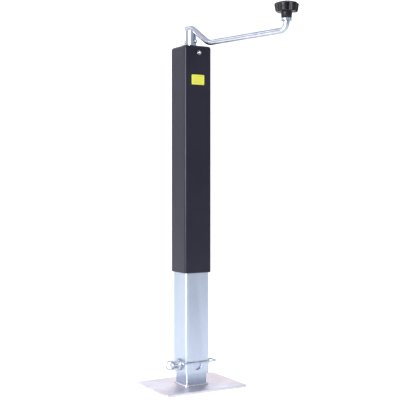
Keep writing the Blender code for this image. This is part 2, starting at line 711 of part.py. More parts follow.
def make_screw_hardware(looks, crank):
    """The collar, its pin, the turning race, and the washer and pin that stop the nut at the lower end."""
    bm = turned(race_profile(lower_race_bottom, lower_race_top, -1), ROUND)
    make_object("lower_race", bm, looks["steel"], parent=crank)
    collar_mid = (collar_top + collar_bottom) / 2
    bm = washer(bore_radius, collar_radius, collar_bottom, collar_top, ROUND)
    collar = make_object("screw_collar", bm, looks["steel"], parent=crank)
    hole = drill(COLLAR_PIN_DIAMETER / 2 + RUNNING_GAP, 3 * collar_radius, (0, 0, collar_mid), "Y")
    cut(collar, hole, "collar_hole", parent=crank)
    bm = round_bar(COLLAR_PIN_DIAMETER / 2, 2 * collar_radius, CROSS_PIN_CHAMFER, SMALL_ROUND, "Y")
    make_object("collar_pin", bm, looks["steel"], location=(0, 0, collar_mid), parent=crank)
    top = stop_washer_top()
    washer_outer = bore_radius + STOP_WASHER_WALL
    bm = washer(bore_radius, washer_outer, top - STOP_WASHER_HEIGHT, top, ROUND)
    make_object("stop_washer", bm, looks["steel"], parent=crank)
    length = 2 * (washer_outer - STOP_PIN_INSET)
    bm = round_bar(STOP_PIN_DIAMETER / 2, length, CROSS_PIN_CHAMFER, SMALL_ROUND, "Y")
    make_object("stop_pin", bm, looks["steel"], location=(0, 0, stop_pin_z()), parent=crank)
    bm = washer(bore_radius, bore_radius + SEAL_WALL, seal_bottom, seal_top, ROUND)
    make_object("dust_seal", bm, looks["rubber"], parent=crank)


def rod_points():
    """Centre line of the bent rod from its tail to the ferrule's seat, with the arm along X."""
    corners = [
        (-ROD_TAIL, 0, rod_top_z),
        (ROD_SHOULDER, 0, rod_top_z),
        (ROD_ELBOW, 0, arm_z),
        (CRANK_RADIUS, 0, arm_end_z),
        (CRANK_RADIUS, 0, seat_z),
    ]
    return bent_path(corners, [ROD_SHOULDER_BEND, ROD_ELBOW_BEND, HANDLE_BEND], ROD_STEP)


def make_crank_socket(looks, crank):
    """The sleeve that slips over the screw's top end. Its rim is notched where the rod crosses it."""
    bm = washer(bore_radius, socket_radius, socket_bottom, socket_top, ROUND)
    obj = make_object("crank_socket", bm, looks["chrome"], parent=crank)
    hole = drill(CRANK_PIN_DIAMETER / 2 + RUNNING_GAP, 4 * socket_radius, (0, 0, crank_pin_z), "X")
    cut(obj, hole, "socket_pin_hole", parent=crank)
    points = rod_points()
    notch = swept(points, [rod_radius + GAP] * len(points), SMALL_ROUND)
    cut(obj, notch, "socket_rod_notch", parent=crank)


def make_crank_rod(looks, crank):
    """The bent rod: over the socket, down to the level arm, out, and up to a tenon that carries the knob."""
    points = rod_points()
    radii = [rod_radius] * len(points)
    points.insert(1, points[0] + Vector((ROD_CHAMFER, 0, 0)))
    radii.insert(0, rod_radius - ROD_CHAMFER)
    tenon = TENON_DIAMETER / 2
    lift = Vector((0, 0, tenon_top - seat_z))
    points += [points[-1], points[-1] + lift]
    radii += [tenon, tenon]
    make_object("crank_rod", swept(points, radii, SMALL_ROUND), looks["chrome"], parent=crank)


def make_crank_pin(looks, pin_slide):
    """The pin through the socket and the screw. Its head ends in a flat tang with an upright hole for the ring."""
    radius = CRANK_PIN_DIAMETER / 2
    head = CRANK_PIN_HEAD_DIAMETER / 2
    head_start = -socket_radius - GAP
    head_end = head_start - CRANK_PIN_HEAD
    tip = socket_radius + CRANK_PIN_TIP
    chamfer = PIN_CHAMFER
    bm = turned(
        [
            (0, head_end),
            (head - chamfer, head_end),
            (head, head_end + chamfer),
            (head, head_start),
            (radius, head_start),
            (radius, tip - 2 * chamfer),
            (radius - chamfer, tip),
            (0, tip),
        ],
        SMALL_ROUND,
        "X",
    )
    obj = make_object("crank_pin", bm, looks["chrome"], parent=pin_slide)
    tang_start = head_start - CRANK_PIN_SHOULDER
    for side, name in ((1, "tang_upper_flat"), (-1, "tang_lower_flat")):
        flat = bmesh.new()
        bmesh.ops.create_cube(flat, size=1.0)
        size = (2 * CRANK_PIN_HEAD, 4 * head, 2 * head)
        bmesh.ops.scale(flat, verts=flat.verts, vec=size)
        place = (tang_start - CRANK_PIN_HEAD, 0, side * (TANG_THICKNESS / 2 + head))
        bmesh.ops.translate(flat, verts=flat.verts, vec=place)
        cut(obj, flat, name, parent=pin_slide)
    hole = drill(ring_hole_radius(), 4 * head, (ring_hole_x(), 0, 0), "Z")
    cut(obj, hole, "ring_hole", parent=pin_slide)


def ring_hole_radius():
    """Radius of the cross hole that the pull ring passes through."""
    return RING_WIRE / 2 + RING_HOLE_PLAY


def ring_hole_x():
    """Place of that hole along the crank pin, measured from the screw's axis."""
    return -socket_radius - GAP - CRANK_PIN_HEAD + ring_hole_radius() + RING_HOLE_WALL


def make_crank_pin_ring(looks, ring_swing):
    """The pull ring, which passes through the pin's upright cross hole and swings about it."""
    centre = (RING_DIAMETER - RING_WIRE) / 2
    wire = RING_WIRE / 2
    profile = []
    for i in range(WIRE_ROUND):
        angle = 2 * math.pi * i / WIRE_ROUND
        profile.append((centre + wire * math.cos(angle), wire * math.sin(angle)))
    bm = turned(profile, HOLE_ROUND, "Y")
    bmesh.ops.translate(bm, verts=bm.verts, vec=(-centre, 0, 0))
    make_object("crank_pin_ring", bm, looks["chrome"], parent=ring_swing)


# ---- knob -----------------------------------------------------------------------------------------------------------------------
def knob_outline(lobe_radius, valley_radius):
    """Outline of the star knob: broad round lobes with narrow valleys between them."""
    points = []
    count = KNOB_LOBES * KNOB_LOBE_STEPS
    for i in range(count):
        angle = 2 * math.pi * i / count
        wave = math.cos(KNOB_LOBES * (angle - KNOB_LOBE_TURN))
        share = 1 - ((1 - wave) / 2) ** KNOB_LOBE_FULLNESS
        radius = valley_radius + (lobe_radius - valley_radius) * share
        points.append((radius * math.cos(angle), radius * math.sin(angle)))
    return points


def make_knob(looks, knob):
    """The black star knob: a neck, drafted lobes, a crowned top, and a pocket in it for the retainer."""
    count = KNOB_LOBES * KNOB_LOBE_STEPS
    lobe, valley = KNOB_DIAMETER / 2, KNOB_VALLEY_DIAMETER / 2
    neck, neck_top = KNOB_NECK_DIAMETER / 2, KNOB_NECK_TOP_DIAMETER / 2
    lobe_bottom = KNOB_NECK_HEIGHT
    lobe_top = KNOB_NECK_HEIGHT + KNOB_LOBE_HEIGHT
    top = lobe_top + KNOB_CROWN
    ease = KNOB_EDGE * (1 - math.cos(math.pi / 4))
    circle = [(math.cos(2 * math.pi * i / count), math.sin(2 * math.pi * i / count)) for i in range(count)]

    def round_ring(radius, height):
        return ring_of(bm, [(radius * x, radius * y) for x, y in circle], height)

    def star_ring(inset, height):
        return ring_of(bm, knob_outline(lobe - inset, valley - inset), height)

    bm = bmesh.new()
    rings = [
        round_ring(neck, 0),
        round_ring(neck_top, lobe_bottom),
        star_ring(KNOB_DRAFT + KNOB_EDGE, lobe_bottom),
        star_ring(KNOB_DRAFT + ease, lobe_bottom + ease),
        star_ring(KNOB_DRAFT, lobe_bottom + KNOB_EDGE),
        star_ring(0, lobe_top - KNOB_EDGE),
        star_ring(ease, lobe_top - ease),
        star_ring(KNOB_EDGE, lobe_top),
        round_ring(KNOB_CROWN_RADIUS, top),
        round_ring(KNOB_POCKET_DIAMETER / 2, top),
        round_ring(KNOB_POCKET_DIAMETER / 2, top - KNOB_POCKET_DEPTH),
        round_ring(TENON_DIAMETER / 2 + RUNNING_GAP, top - KNOB_POCKET_DEPTH),
        round_ring(TENON_DIAMETER / 2 + RUNNING_GAP, 0),
    ]
    for i, ring in enumerate(rings):
        bridge(bm, ring, rings[(i + 1) % len(rings)])
    make_object("knob", bm, looks["black_plastic"], parent=knob)


def make_knob_cap(looks, knob):
    """The disc that closes the pocket in the knob's top."""
    radius = KNOB_POCKET_DIAMETER / 2 - GAP
    top = knob_top - knob_bottom
    bottom = top - KNOB_CAP_HEIGHT
    chamfer = KNOB_CAP_CHAMFER
    bm = turned([(0, bottom), (radius, bottom), (radius, top - chamfer), (radius - chamfer, top), (0, top)], ROUND)
    make_object("knob_cap", bm, looks["black_plastic"], parent=knob)


def make_knob_hardware(looks, crank):
    """The ferrule under the knob and the push-on retainer above its bore, both on the rod's tenon."""
    inner = TENON_DIAMETER / 2 + RUNNING_GAP
    outer = FERRULE_DIAMETER / 2
    low = seat_z + GAP
    high = low + FERRULE_HEIGHT
    skirt = FERRULE_WALL
    bm = turned(
        [
            (inner, high),
            (outer, high),
            (outer, low),
            (outer - skirt, low),
            (outer - skirt, high - skirt),
            (inner, high - skirt),
        ],
        ROUND,
    )
    make_object("knob_ferrule", bm, looks["chrome"], location=(CRANK_RADIUS, 0, 0), parent=crank)
    low = pocket_floor + GAP
    retainer_outer = KNOB_POCKET_DIAMETER / 2 - 2 * GAP
    bm = washer(inner, retainer_outer, low, low + RETAINER_HEIGHT, SMALL_ROUND)
    make_object("knob_retainer", bm, looks["steel"], location=(CRANK_RADIUS, 0, 0), parent=crank)


# ---- inner tube, nut, drop leg and foot --------------------------------------------------------------------------------------------
def make_inner_tube(looks, leg):
    """The zinc-plated inner tube, cross drilled both ways for the leg pin."""
    inside = inner_side - 2 * INNER_WALL
    corner = TUBE_CORNER - SLIDE_GAP
    bm = tube(
        rounded_square(inner_side, inner_side, corner),
        rounded_square(inside, inside, max(corner - INNER_WALL, INNER_WALL / 4)),
        inner_bottom,
        inner_top,
    )
    obj = make_object("inner_tube", bm, looks["zinc_plate"], parent=leg)
    for axis in "XY":
        hole = drill(PIN_DIAMETER / 2 + PIN_PLAY, 2 * inner_side, (0, 0, pin_z), axis, HOLE_ROUND)
        cut(obj, hole, f"inner_pin_hole_{axis}", parent=leg)


def make_nut(looks, leg):
    """The plate on the inner tube's top end and the flanged nut that carries the load on it."""
    bm = prism(rounded_square(inner_side, inner_side, TUBE_CORNER - SLIDE_GAP), inner_top + GAP, nut_plate_top)
    plate = make_object("nut_plate", bm, looks["steel"], parent=leg)
    hole = drill(nut_spigot_radius + GAP, 4 * NUT_PLATE_HEIGHT, (0, 0, nut_plate_top), "Z", ROUND)
    cut(plate, hole, "nut_plate_hole", parent=leg)
    flange_bottom = nut_plate_top + GAP
    bm = turned(
        [
            (nut_bore, nut_bottom),
            (nut_spigot_radius, nut_bottom),
            (nut_spigot_radius, flange_bottom),
            (NUT_FLANGE_DIAMETER / 2, flange_bottom),
            (NUT_FLANGE_DIAMETER / 2, nut_top),
            (nut_bore, nut_top),
        ],
        ROUND,
    )
    make_object("screw_nut", bm, looks["bronze"], parent=leg)


def make_drop_leg(looks, leg):
    """The square drop leg, with a row of pin holes in its two side faces."""
    inside = leg_side - 2 * LEG_WALL
    corner = TUBE_CORNER - 2 * SLIDE_GAP
    bm = tube(
        rounded_square(leg_side, leg_side, corner),
        rounded_square(inside, inside, max(corner - LEG_WALL, LEG_WALL / 4)),
        leg_bottom,
        leg_top,
    )
    obj = make_object("drop_leg", bm, looks["zinc_plate"], parent=leg)
    for i in range(PIN_HOLE_COUNT):
        place = (0, 0, pin_z + i * PIN_HOLE_SPACING)
        hole = drill(PIN_DIAMETER / 2 + PIN_PLAY, 2 * leg_side, place, "X", HOLE_ROUND)
        cut(obj, hole, f"leg_pin_hole_{i + 1}", parent=leg)


def make_foot(looks, leg):
    """The rectangular foot plate and the fillet welds on the four sides of the leg."""
    bm = prism(rounded_square(FOOT_LENGTH, FOOT_WIDTH, FOOT_CORNER), 0, FOOT_THICKNESS)
    make_object("base_plate", bm, looks["foot_zinc"], parent=leg)
    near = leg_side / 2 + GAP
    low = FOOT_THICKNESS + GAP
    half = leg_side / 2 - TUBE_CORNER
    names = ["foot_weld_right", "foot_weld_back", "foot_weld_left", "foot_weld_front"]
    for turn, name in enumerate(names):
        bm = bmesh.new()
        section = [(near, low), (near + WELD_LEG, low)]
        section += [(near + WELD_LEG * WELD_SWELL, low + WELD_LEG * WELD_SWELL), (near, low + WELD_LEG)]
        ends = [[bm.verts.new((x, y, z)) for x, z in section] for y in (-half, half)]
        bridge(bm, ends[0], ends[1])
        bm.faces.new(ends[0])
        bm.faces.new(ends[1])
        bmesh.ops.rotate(bm, verts=bm.verts, matrix=Matrix.Rotation(turn * math.pi / 2, 3, "Z"))
        make_object(name, bm, looks["foot_zinc"], parent=leg)


# ---- leg pin and bail -----------------------------------------------------------------------------------------------------------------
def pin_head_end():
    """Place along X of the outer end of the leg pin's head."""
    return -inner_side / 2 - GAP - PIN_FLANGE_HEIGHT - PIN_HEAD_LENGTH


def bail_pivot_x():
    """Place along X of the upright hole in the head, where the bail pivots."""
    return pin_head_end() + BAIL_PIVOT_INSET


def make_leg_pin(looks, leg):
    """The leg pin: tapered tip, shank, flange against the tube, and a head with the bail's upright hole."""
    shank, tip = PIN_DIAMETER / 2, PIN_TIP_DIAMETER / 2
    flange, head = PIN_FLANGE_DIAMETER / 2, PIN_HEAD_DIAMETER / 2
    tip_x = inner_side / 2 + PIN_STANDS_OUT
    flange_x = -inner_side / 2 - GAP
    chamfer = PIN_CHAMFER
    bm = turned(
        [
            (0, pin_head_end()),
            (head - chamfer, pin_head_end()),
            (head, pin_head_end() + chamfer),
            (head, flange_x - PIN_FLANGE_HEIGHT),
            (flange, flange_x - PIN_FLANGE_HEIGHT),
            (flange, flange_x),
            (shank, flange_x),
            (shank, tip_x - PIN_TIP_LENGTH),
            (tip, tip_x - chamfer),
            (tip - chamfer, tip_x),
            (0, tip_x),
        ],
        HOLE_ROUND,
        "X",
    )
    obj = make_object("leg_pin", bm, looks["chrome"], location=(0, 0, pin_z), parent=leg)
    hole = drill(BAIL_WIRE / 2 + BAIL_HOLE_PLAY, 2 * PIN_HEAD_DIAMETER, (bail_pivot_x(), 0, pin_z), "Z")
    cut(obj, hole, "bail_hole", parent=leg)


def make_leg_pin_bail(looks, bail):
    """The spring wire bail. It starts in the head's upright hole, loops out and over the head, runs along the
    front of the tube and hooks down over the pin's tip. Its origin is its pivot."""
    wire = BAIL_WIRE / 2
    head = PIN_HEAD_DIAMETER / 2
    lift = head + GAP + wire
    loop_x = -BAIL_PIVOT_INSET - BAIL_LOOP_REACH
    to_axis = -bail_pivot_x()
    front_y = -inner_side / 2 - BAIL_STANDOFF - wire
    corner_x = to_axis - inner_side / 2 - wire - BAIL_LEAD
    hook_x = to_axis + inner_side / 2 + PIN_STANDS_OUT + GAP + wire
    side_z = lift - BAIL_DROP
    steps = round(math.pi / WIRE_STEP)
    loop = [
        Vector((loop_x - lift * math.sin(math.pi * i / steps), 0, -lift * math.cos(math.pi * i / steps)))
        for i in range(steps + 1)
    ]
    start = [(0, 0, head - 2 * wire), (0, 0, -lift), tuple(loop[0])]
    lower = bent_path(start, [wire * BAIL_TIGHT_BEND], WIRE_STEP)
    upper = bent_path(
        [
            tuple(loop[-1]),
            (-2 * wire, 0, lift),
            (corner_x, front_y, side_z),
            (hook_x, front_y, side_z),
            (hook_x, 0, side_z),
            (hook_x, 0, side_z - BAIL_HOOK),
        ],
        [BAIL_CORNER * BAIL_FIRST_BEND, BAIL_CORNER, BAIL_CORNER, BAIL_CORNER * BAIL_LAST_BEND],
        WIRE_STEP,
    )
    points = lower[:-1] + loop + upper[1:]
    bm = swept(points, [wire] * len(points), WIRE_ROUND)
    make_object("leg_pin_bail", bm, looks["chrome"], parent=bail)


# ---- the whole jack ------------------------------------------------------------------------------------------------------------------------
def build():
    """Builds every piece of the jack at rest."""
    clear_scene()
    looks = make_materials()
    crank = make_pivot("crank_axis", (0, 0, 0), CRANK_ANGLE)
    bearing = make_pivot("bearing_axis", (0, 0, 0), CRANK_ANGLE)
    leg = make_pivot("leg_axis", (0, 0, 0))
    pin_slide = make_pivot("crank_pin_axis", (0, 0, crank_pin_z), parent=crank)
    ring_swing = make_pivot("ring_axis", (ring_hole_x(), 0, 0), parent=pin_slide)
    knob = make_pivot("knob_axis", (CRANK_RADIUS, 0, knob_bottom), parent=crank)
    bail = make_pivot("bail_axis", (bail_pivot_x(), 0, pin_z), parent=leg)
    make_outer_tube(looks)
    make_top_cap(looks)
    make_bearing_plate(looks)
    make_shaft_bush(looks)
    make_upper_race(looks)
    make_grease_fitting(looks)
    make_rating_label(looks)
    make_bearing(looks, bearing)
    make_lead_screw(looks, crank)
    make_screw_hardware(looks, crank)
    make_crank_socket(looks, crank)
    make_crank_rod(looks, crank)
    make_crank_pin(looks, pin_slide)
    make_crank_pin_ring(looks, ring_swing)
    make_knob(looks, knob)
    make_knob_cap(looks, knob)
    make_knob_hardware(looks, crank)
    make_inner_tube(looks, leg)
    make_nut(looks, leg)
    make_drop_leg(looks, leg)
    make_foot(looks, leg)
    make_leg_pin(looks, leg)
    make_leg_pin_bail(looks, bail)


build()
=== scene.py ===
"""Looks of the square drop-leg trailer jack: fine meshes and procedural materials round the CAD frame."""

import json
import math

import bmesh
import bpy
from mathutils import Matrix, Vector


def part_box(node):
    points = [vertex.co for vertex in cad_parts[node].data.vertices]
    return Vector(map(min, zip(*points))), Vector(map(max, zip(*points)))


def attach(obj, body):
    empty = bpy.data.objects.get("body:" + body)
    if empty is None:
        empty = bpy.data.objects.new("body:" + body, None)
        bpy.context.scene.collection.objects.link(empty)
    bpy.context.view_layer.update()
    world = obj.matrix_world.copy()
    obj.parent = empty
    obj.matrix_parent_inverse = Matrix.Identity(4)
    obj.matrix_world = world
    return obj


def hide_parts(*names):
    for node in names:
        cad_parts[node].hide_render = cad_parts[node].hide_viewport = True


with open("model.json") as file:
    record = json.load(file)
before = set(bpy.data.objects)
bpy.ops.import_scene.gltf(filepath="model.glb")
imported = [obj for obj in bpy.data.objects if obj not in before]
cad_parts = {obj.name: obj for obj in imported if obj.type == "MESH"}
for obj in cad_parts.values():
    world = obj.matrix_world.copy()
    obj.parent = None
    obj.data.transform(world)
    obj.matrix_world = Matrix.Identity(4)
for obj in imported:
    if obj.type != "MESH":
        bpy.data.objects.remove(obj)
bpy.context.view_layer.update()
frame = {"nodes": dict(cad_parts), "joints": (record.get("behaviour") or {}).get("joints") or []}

MM = 0.001
UP = Vector((0, 0, 1))
FULL_TURN = 2 * math.pi


# ---- places read from the frame ----------------------------------------------
def size(node):
    """Width, depth and height of a CAD node."""
    low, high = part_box(node)
    return high - low


def middle(node):
    """Centre of a CAD node's box."""
    low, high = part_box(node)
    return (low + high) / 2


def joint(name):
    """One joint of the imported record."""
    return next(j for j in frame["joints"] if j["name"] == name)


outer_low, outer_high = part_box("outer_tube")
cap_low, cap_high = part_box("top_cap")
inner_low, inner_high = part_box("inner_tube")
leg_low, leg_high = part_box("drop_leg")
foot_low, foot_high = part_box("base_plate")
socket_low, socket_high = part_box("crank_socket")
outer_side = outer_high.x - outer_low.x
inner_side = inner_high.x - inner_low.x
leg_side = leg_high.x - leg_low.x
pin_low, pin_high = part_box("leg_pin")
pin_z = (pin_low.z + pin_high.z) / 2
knob_axis = Vector(joint("knob_spin")["pos_m"])
arm_direction = Vector((knob_axis.x, knob_axis.y, 0)).normalized()
crank_radius = math.hypot(knob_axis.x, knob_axis.y)
crank_turn = Matrix.Rotation(math.atan2(arm_direction.y, arm_direction.x), 4, "Z")
bail_pivot = Vector(joint("bail_swing")["pos_m"])
ring_pivot = joint("pin_ring_swing")["pos_m"]
pin_height = ring_pivot[2]
ring_hole = -math.hypot(ring_pivot[0], ring_pivot[1])    # along the arm

# Sizes that the boxes don't give, the same as the CAD part's.
OUTER_WALL = 3.0 * MM
INNER_WALL = 3.2 * MM
LEG_WALL = 3.0 * MM
TUBE_CORNER = 5.5 * MM
PIN_HOLE = 9.0 * MM              # radius of the leg pin's holes
PIN_HOLE_SPACING = 50.0 * MM
PIN_HOLE_COUNT = 5
ROD_RADIUS = 6.0 * MM
BORE_RADIUS = 8.3 * MM           # round the screw's journal
BUSH_RADIUS = 11.8 * MM
TENON_RADIUS = 4.0 * MM
CRANK_PIN_RADIUS = 3.0 * MM
PIN_HEAD_RADIUS = 7.25 * MM      # of the leg pin
GAP = 0.3 * MM

# Sizes that the mesh helpers use.
SMOOTH_ANGLE = 32.0              # degrees: a sharper edge than this is shaded as an edge
SUPPORT_INSET = 0.6 * MM         # of the support points beside a round corner
LEAST_CORNER = 0.4 * MM          # radius of the smallest corner of a square loop
EASED_SHARE = 0.45               # of a side's length that a rounded corner may take
STRAIGHT_ANGLE = 150.0           # degrees: a corner flatter than this isn't rounded
DRILL_REACH = 4.0 * MM           # of a drill beyond the outer faces
DOME = [0.985, 0.94, 0.82, 0.55] # radii of the rings of a bar's domed end, as shares of its radius
DOME_HEIGHT = 0.35               # as a share of the bar's radius


# ---- mesh helpers ------------------------------------------------------------
def finish_mesh(name, bm, look, sharp=SMOOTH_ANGLE):
    """Makes a shown object of a bmesh, with smooth round faces and sharp edges."""
    bmesh.ops.recalc_face_normals(bm, faces=bm.faces)
    mesh = bpy.data.meshes.new(name)
    bm.to_mesh(mesh)
    bm.free()
    mesh.shade_smooth()
    mesh.set_sharp_from_angle(angle=math.radians(sharp))
    mesh.materials.append(look)
    obj = bpy.data.objects.new(name, mesh)
    bpy.context.scene.collection.objects.link(obj)
    return obj


def place(obj, body, slot, *nodes):
    """Lets a piece ride on a body and hides the CAD nodes that it stands for; the slot is not used."""
    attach(obj, body)
    if nodes:
        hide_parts(*nodes)


def bridge(bm, first, second):
    """Quads between two rings."""
    count = len(first)
    for i in range(count):
        j = (i + 1) % count
        bm.faces.new((first[i], first[j], second[j], second[i]))


def skin(bm, rings, closed):
    """Joins rings in their order. The last then joins the first if closed, else both are filled."""
    for first, second in zip(rings, rings[1:]):
        bridge(bm, first, second)
    if closed:
        bridge(bm, rings[-1], rings[0])
    else:
        bm.faces.new(rings[0])
        bm.faces.new(rings[-1])


def circle(bm, radius, height, sides):
    """A ring of vertices round the Z axis."""
    angles = [FULL_TURN * i / sides for i in range(sides)]
    return [bm.verts.new((radius * math.cos(angle), radius * math.sin(angle), height)) for angle in angles]


def rounded_loop(side_x, side_y, radius, steps=10):
    """A rectangle with round corners. A support point lies just inside each end of every straight side."""
    points = []
    pad = min(SUPPORT_INSET, side_x / 8, side_y / 8)
    signs = [(1, 1), (-1, 1), (-1, -1), (1, -1)]
    for turn, (sign_x, sign_y) in enumerate(signs):
        centre = Vector((sign_x * (side_x / 2 - radius), sign_y * (side_y / 2 - radius)))
        start, end = math.radians(90 * turn), math.radians(90 * (turn + 1))
        before = centre + radius * Vector((math.cos(start), math.sin(start)))
        after = centre + radius * Vector((math.cos(end), math.sin(end)))
        points.append(before + pad * Vector((math.sin(start), -math.cos(start))))
        for step in range(steps + 1):
            angle = start + (end - start) * step / steps
            points.append(centre + radius * Vector((math.cos(angle), math.sin(angle))))
        points.append(after + pad * Vector((-math.sin(end), math.cos(end))))
    return points


def arc(centre, radius, start, end, steps):
    """Points on an arc in the (across, height) plane, angles in degrees."""
    made = []
    for i in range(steps + 1):
        angle = math.radians(start + (end - start) * i / steps)
        made.append((centre[0] + radius * math.cos(angle), centre[1] + radius * math.sin(angle)))
    return made


def square_loft(section, side_x, side_y, corner, closed):
    """A square shape of (inset, height) points: a tube if closed, else a block with flat ends."""
    bm = bmesh.new()
    rings = []
    for inset, height in section:
        loop = rounded_loop(side_x - 2 * inset, side_y - 2 * inset, max(corner - inset, LEAST_CORNER))
        rings.append([bm.verts.new((p.x, p.y, height)) for p in loop])
    skin(bm, rings, closed)
    return bm


def turned(profile, sides, closed):
    """A turned shape. The profile is (radius, height) points, closed or with both ends on the axis."""
    bm = bmesh.new()
    rows = []
    for radius, height in profile:
        rows.append(circle(bm, radius, height, sides if radius > 0 else 1))
    pairs = list(zip(rows, rows[1:])) + ([(rows[-1], rows[0])] if closed else [])
    for first, second in pairs:
        if len(first) == 1:
            for i in range(sides):
                bm.faces.new((first[0], second[i], second[(i + 1) % sides]))
        elif len(second) == 1:
            for i in range(sides):
                bm.faces.new((first[i], first[(i + 1) % sides], second[0]))
        else:
            bridge(bm, first, second)
    return bm


def eased(profile, radius, steps=4, closed=True):
    """Rounds every corner of a (across, height) profile that is sharp, by up to the given radius."""
    made = []
    count = len(profile)
    for i, point in enumerate(profile):
        here = Vector(point)
        if not closed and i in (0, count - 1):
            made.append(tuple(here))
            continue
        before, after = Vector(profile[i - 1]), Vector(profile[(i + 1) % count])
        back, ahead = before - here, after - here
        if back.length == 0 or ahead.length == 0 or back.angle(ahead) > math.radians(STRAIGHT_ANGLE):
            made.append(tuple(here))
            continue
        reach = min(radius, back.length * EASED_SHARE, ahead.length * EASED_SHARE)
        start, end = here + back.normalized() * reach, here + ahead.normalized() * reach
        for step in range(steps + 1):
            share = step / steps
            made.append(tuple((1 - share) ** 2 * start + 2 * share * (1 - share) * here + share**2 * end))
    return made


def transformed(bm, matrix):
    """Moves every vertex of a bmesh."""
    bmesh.ops.transform(bm, matrix=matrix, verts=bm.verts)
    return bm


def along(axis, point=(0, 0, 0)):
    """The matrix that lays a shape made along Z on another axis through a point."""
    turn = UP.rotation_difference(Vector(axis).normalized()).to_matrix().to_4x4()
    return Matrix.Translation(point) @ turn


def carve(obj, cutters):
    """Takes closed shapes away from an object, and applies the result."""
    for bm in cutters:
        bmesh.ops.recalc_face_normals(bm, faces=bm.faces)
        mesh = bpy.data.meshes.new("cutter")
        bm.to_mesh(mesh)
        bm.free()
        cutter = bpy.data.objects.new("cutter", mesh)
        bpy.context.scene.collection.objects.link(cutter)
        modifier = obj.modifiers.new("carve", "BOOLEAN")
        modifier.operation = "DIFFERENCE"
        modifier.solver = "EXACT"
        modifier.object = cutter
        with bpy.context.temp_override(object=obj, active_object=obj, selected_objects=[obj]):
            bpy.ops.object.modifier_apply(modifier=modifier.name)
        bpy.data.objects.remove(cutter)
        bpy.data.meshes.remove(mesh)
    obj.data.shade_smooth()
    obj.data.set_sharp_from_angle(angle=math.radians(SMOOTH_ANGLE))


def hole_cutter(radius, axis, point, half_outer, chamfer=0.35 * MM, sides=48):
    """A drill through both walls of a tube, which also breaks the edges of the hole on the outside."""
    reach = half_outer + DRILL_REACH
    flare = reach - half_outer + chamfer
    profile = [
        (0, -reach),
        (radius + flare, -reach),
        (radius, -half_outer + chamfer),
        (radius, half_outer - chamfer),
        (radius + flare, reach),
        (0, reach),
    ]
    return transformed(turned(profile, sides, False), along(axis, point))


def swept(points, radii, sides, round_start=True, round_end=True):
    """A round bar along a path of points, with domed or flat ends."""
    bm = bmesh.new()
    tangents = []
    for i in range(len(points)):
        ahead, behind = points[min(i + 1, len(points) - 1)], points[max(i - 1, 0)]
        tangents.append((ahead - behind).normalized())
    side = tangents[0].orthogonal().normalized()
    frames = []
    for point, tangent, radius in zip(points, tangents, radii):
        side = (side - tangent * side.dot(tangent)).normalized()
        frames.append((point, tangent, side, radius))

    def ring(point, tangent, across, radius):
        other = tangent.cross(across)
        return [
            bm.verts.new(
                point
                + across * radius * math.cos(FULL_TURN * i / sides)
                + other * radius * math.sin(FULL_TURN * i / sides)
            )
            for i in range(sides)
        ]

    rings = []
    point, tangent, across, radius = frames[0]
    if round_start:
        for share in reversed(DOME):
            inward = point + tangent * radius * DOME_HEIGHT * (1 - math.sqrt(1 - share**2))
            rings.append(ring(inward, tangent, across, radius * share))
        frames[0] = (point + tangent * radius * DOME_HEIGHT, tangent, across, radius)
    end_point, end_tangent, end_across, end_radius = frames[-1]
    if round_end:
        inner_end = end_point - end_tangent * end_radius * DOME_HEIGHT
        frames[-1] = (inner_end, end_tangent, end_across, end_radius)
    rings += [ring(*one) for one in frames]
    if round_end:
        for share in DOME:
            outward = end_point - end_tangent * end_radius * DOME_HEIGHT * (1 - math.sqrt(1 - share**2))
            rings.append(ring(outward, end_tangent, end_across, end_radius * share))
    skin(bm, rings, False)
    return bm


def bent_path(corners, radii, step_degrees=4.0):
    """Points of a bent bar: straight runs with an arc of the given radius at each inner corner."""
    points = [Vector(corners[0])]
    for before, corner, after, radius in zip(corners, corners[1:], corners[2:], radii):
        before, corner, after = Vector(before), Vector(corner), Vector(after)
        incoming = (corner - before).normalized()
        outgoing = (after - corner).normalized()
        bend = incoming.angle(outgoing)
        normal = incoming.cross(outgoing).normalized()
        start = corner - incoming * radius * math.tan(bend / 2)
        centre = start + normal.cross(incoming) * radius
        steps = max(3, math.ceil(math.degrees(bend) / step_degrees))
        for i in range(steps + 1):
            turn = Matrix.Rotation(bend * i / steps, 3, normal)
            points.append(centre + turn @ (start - centre))
    points.append(Vector(corners[-1]))
    return points


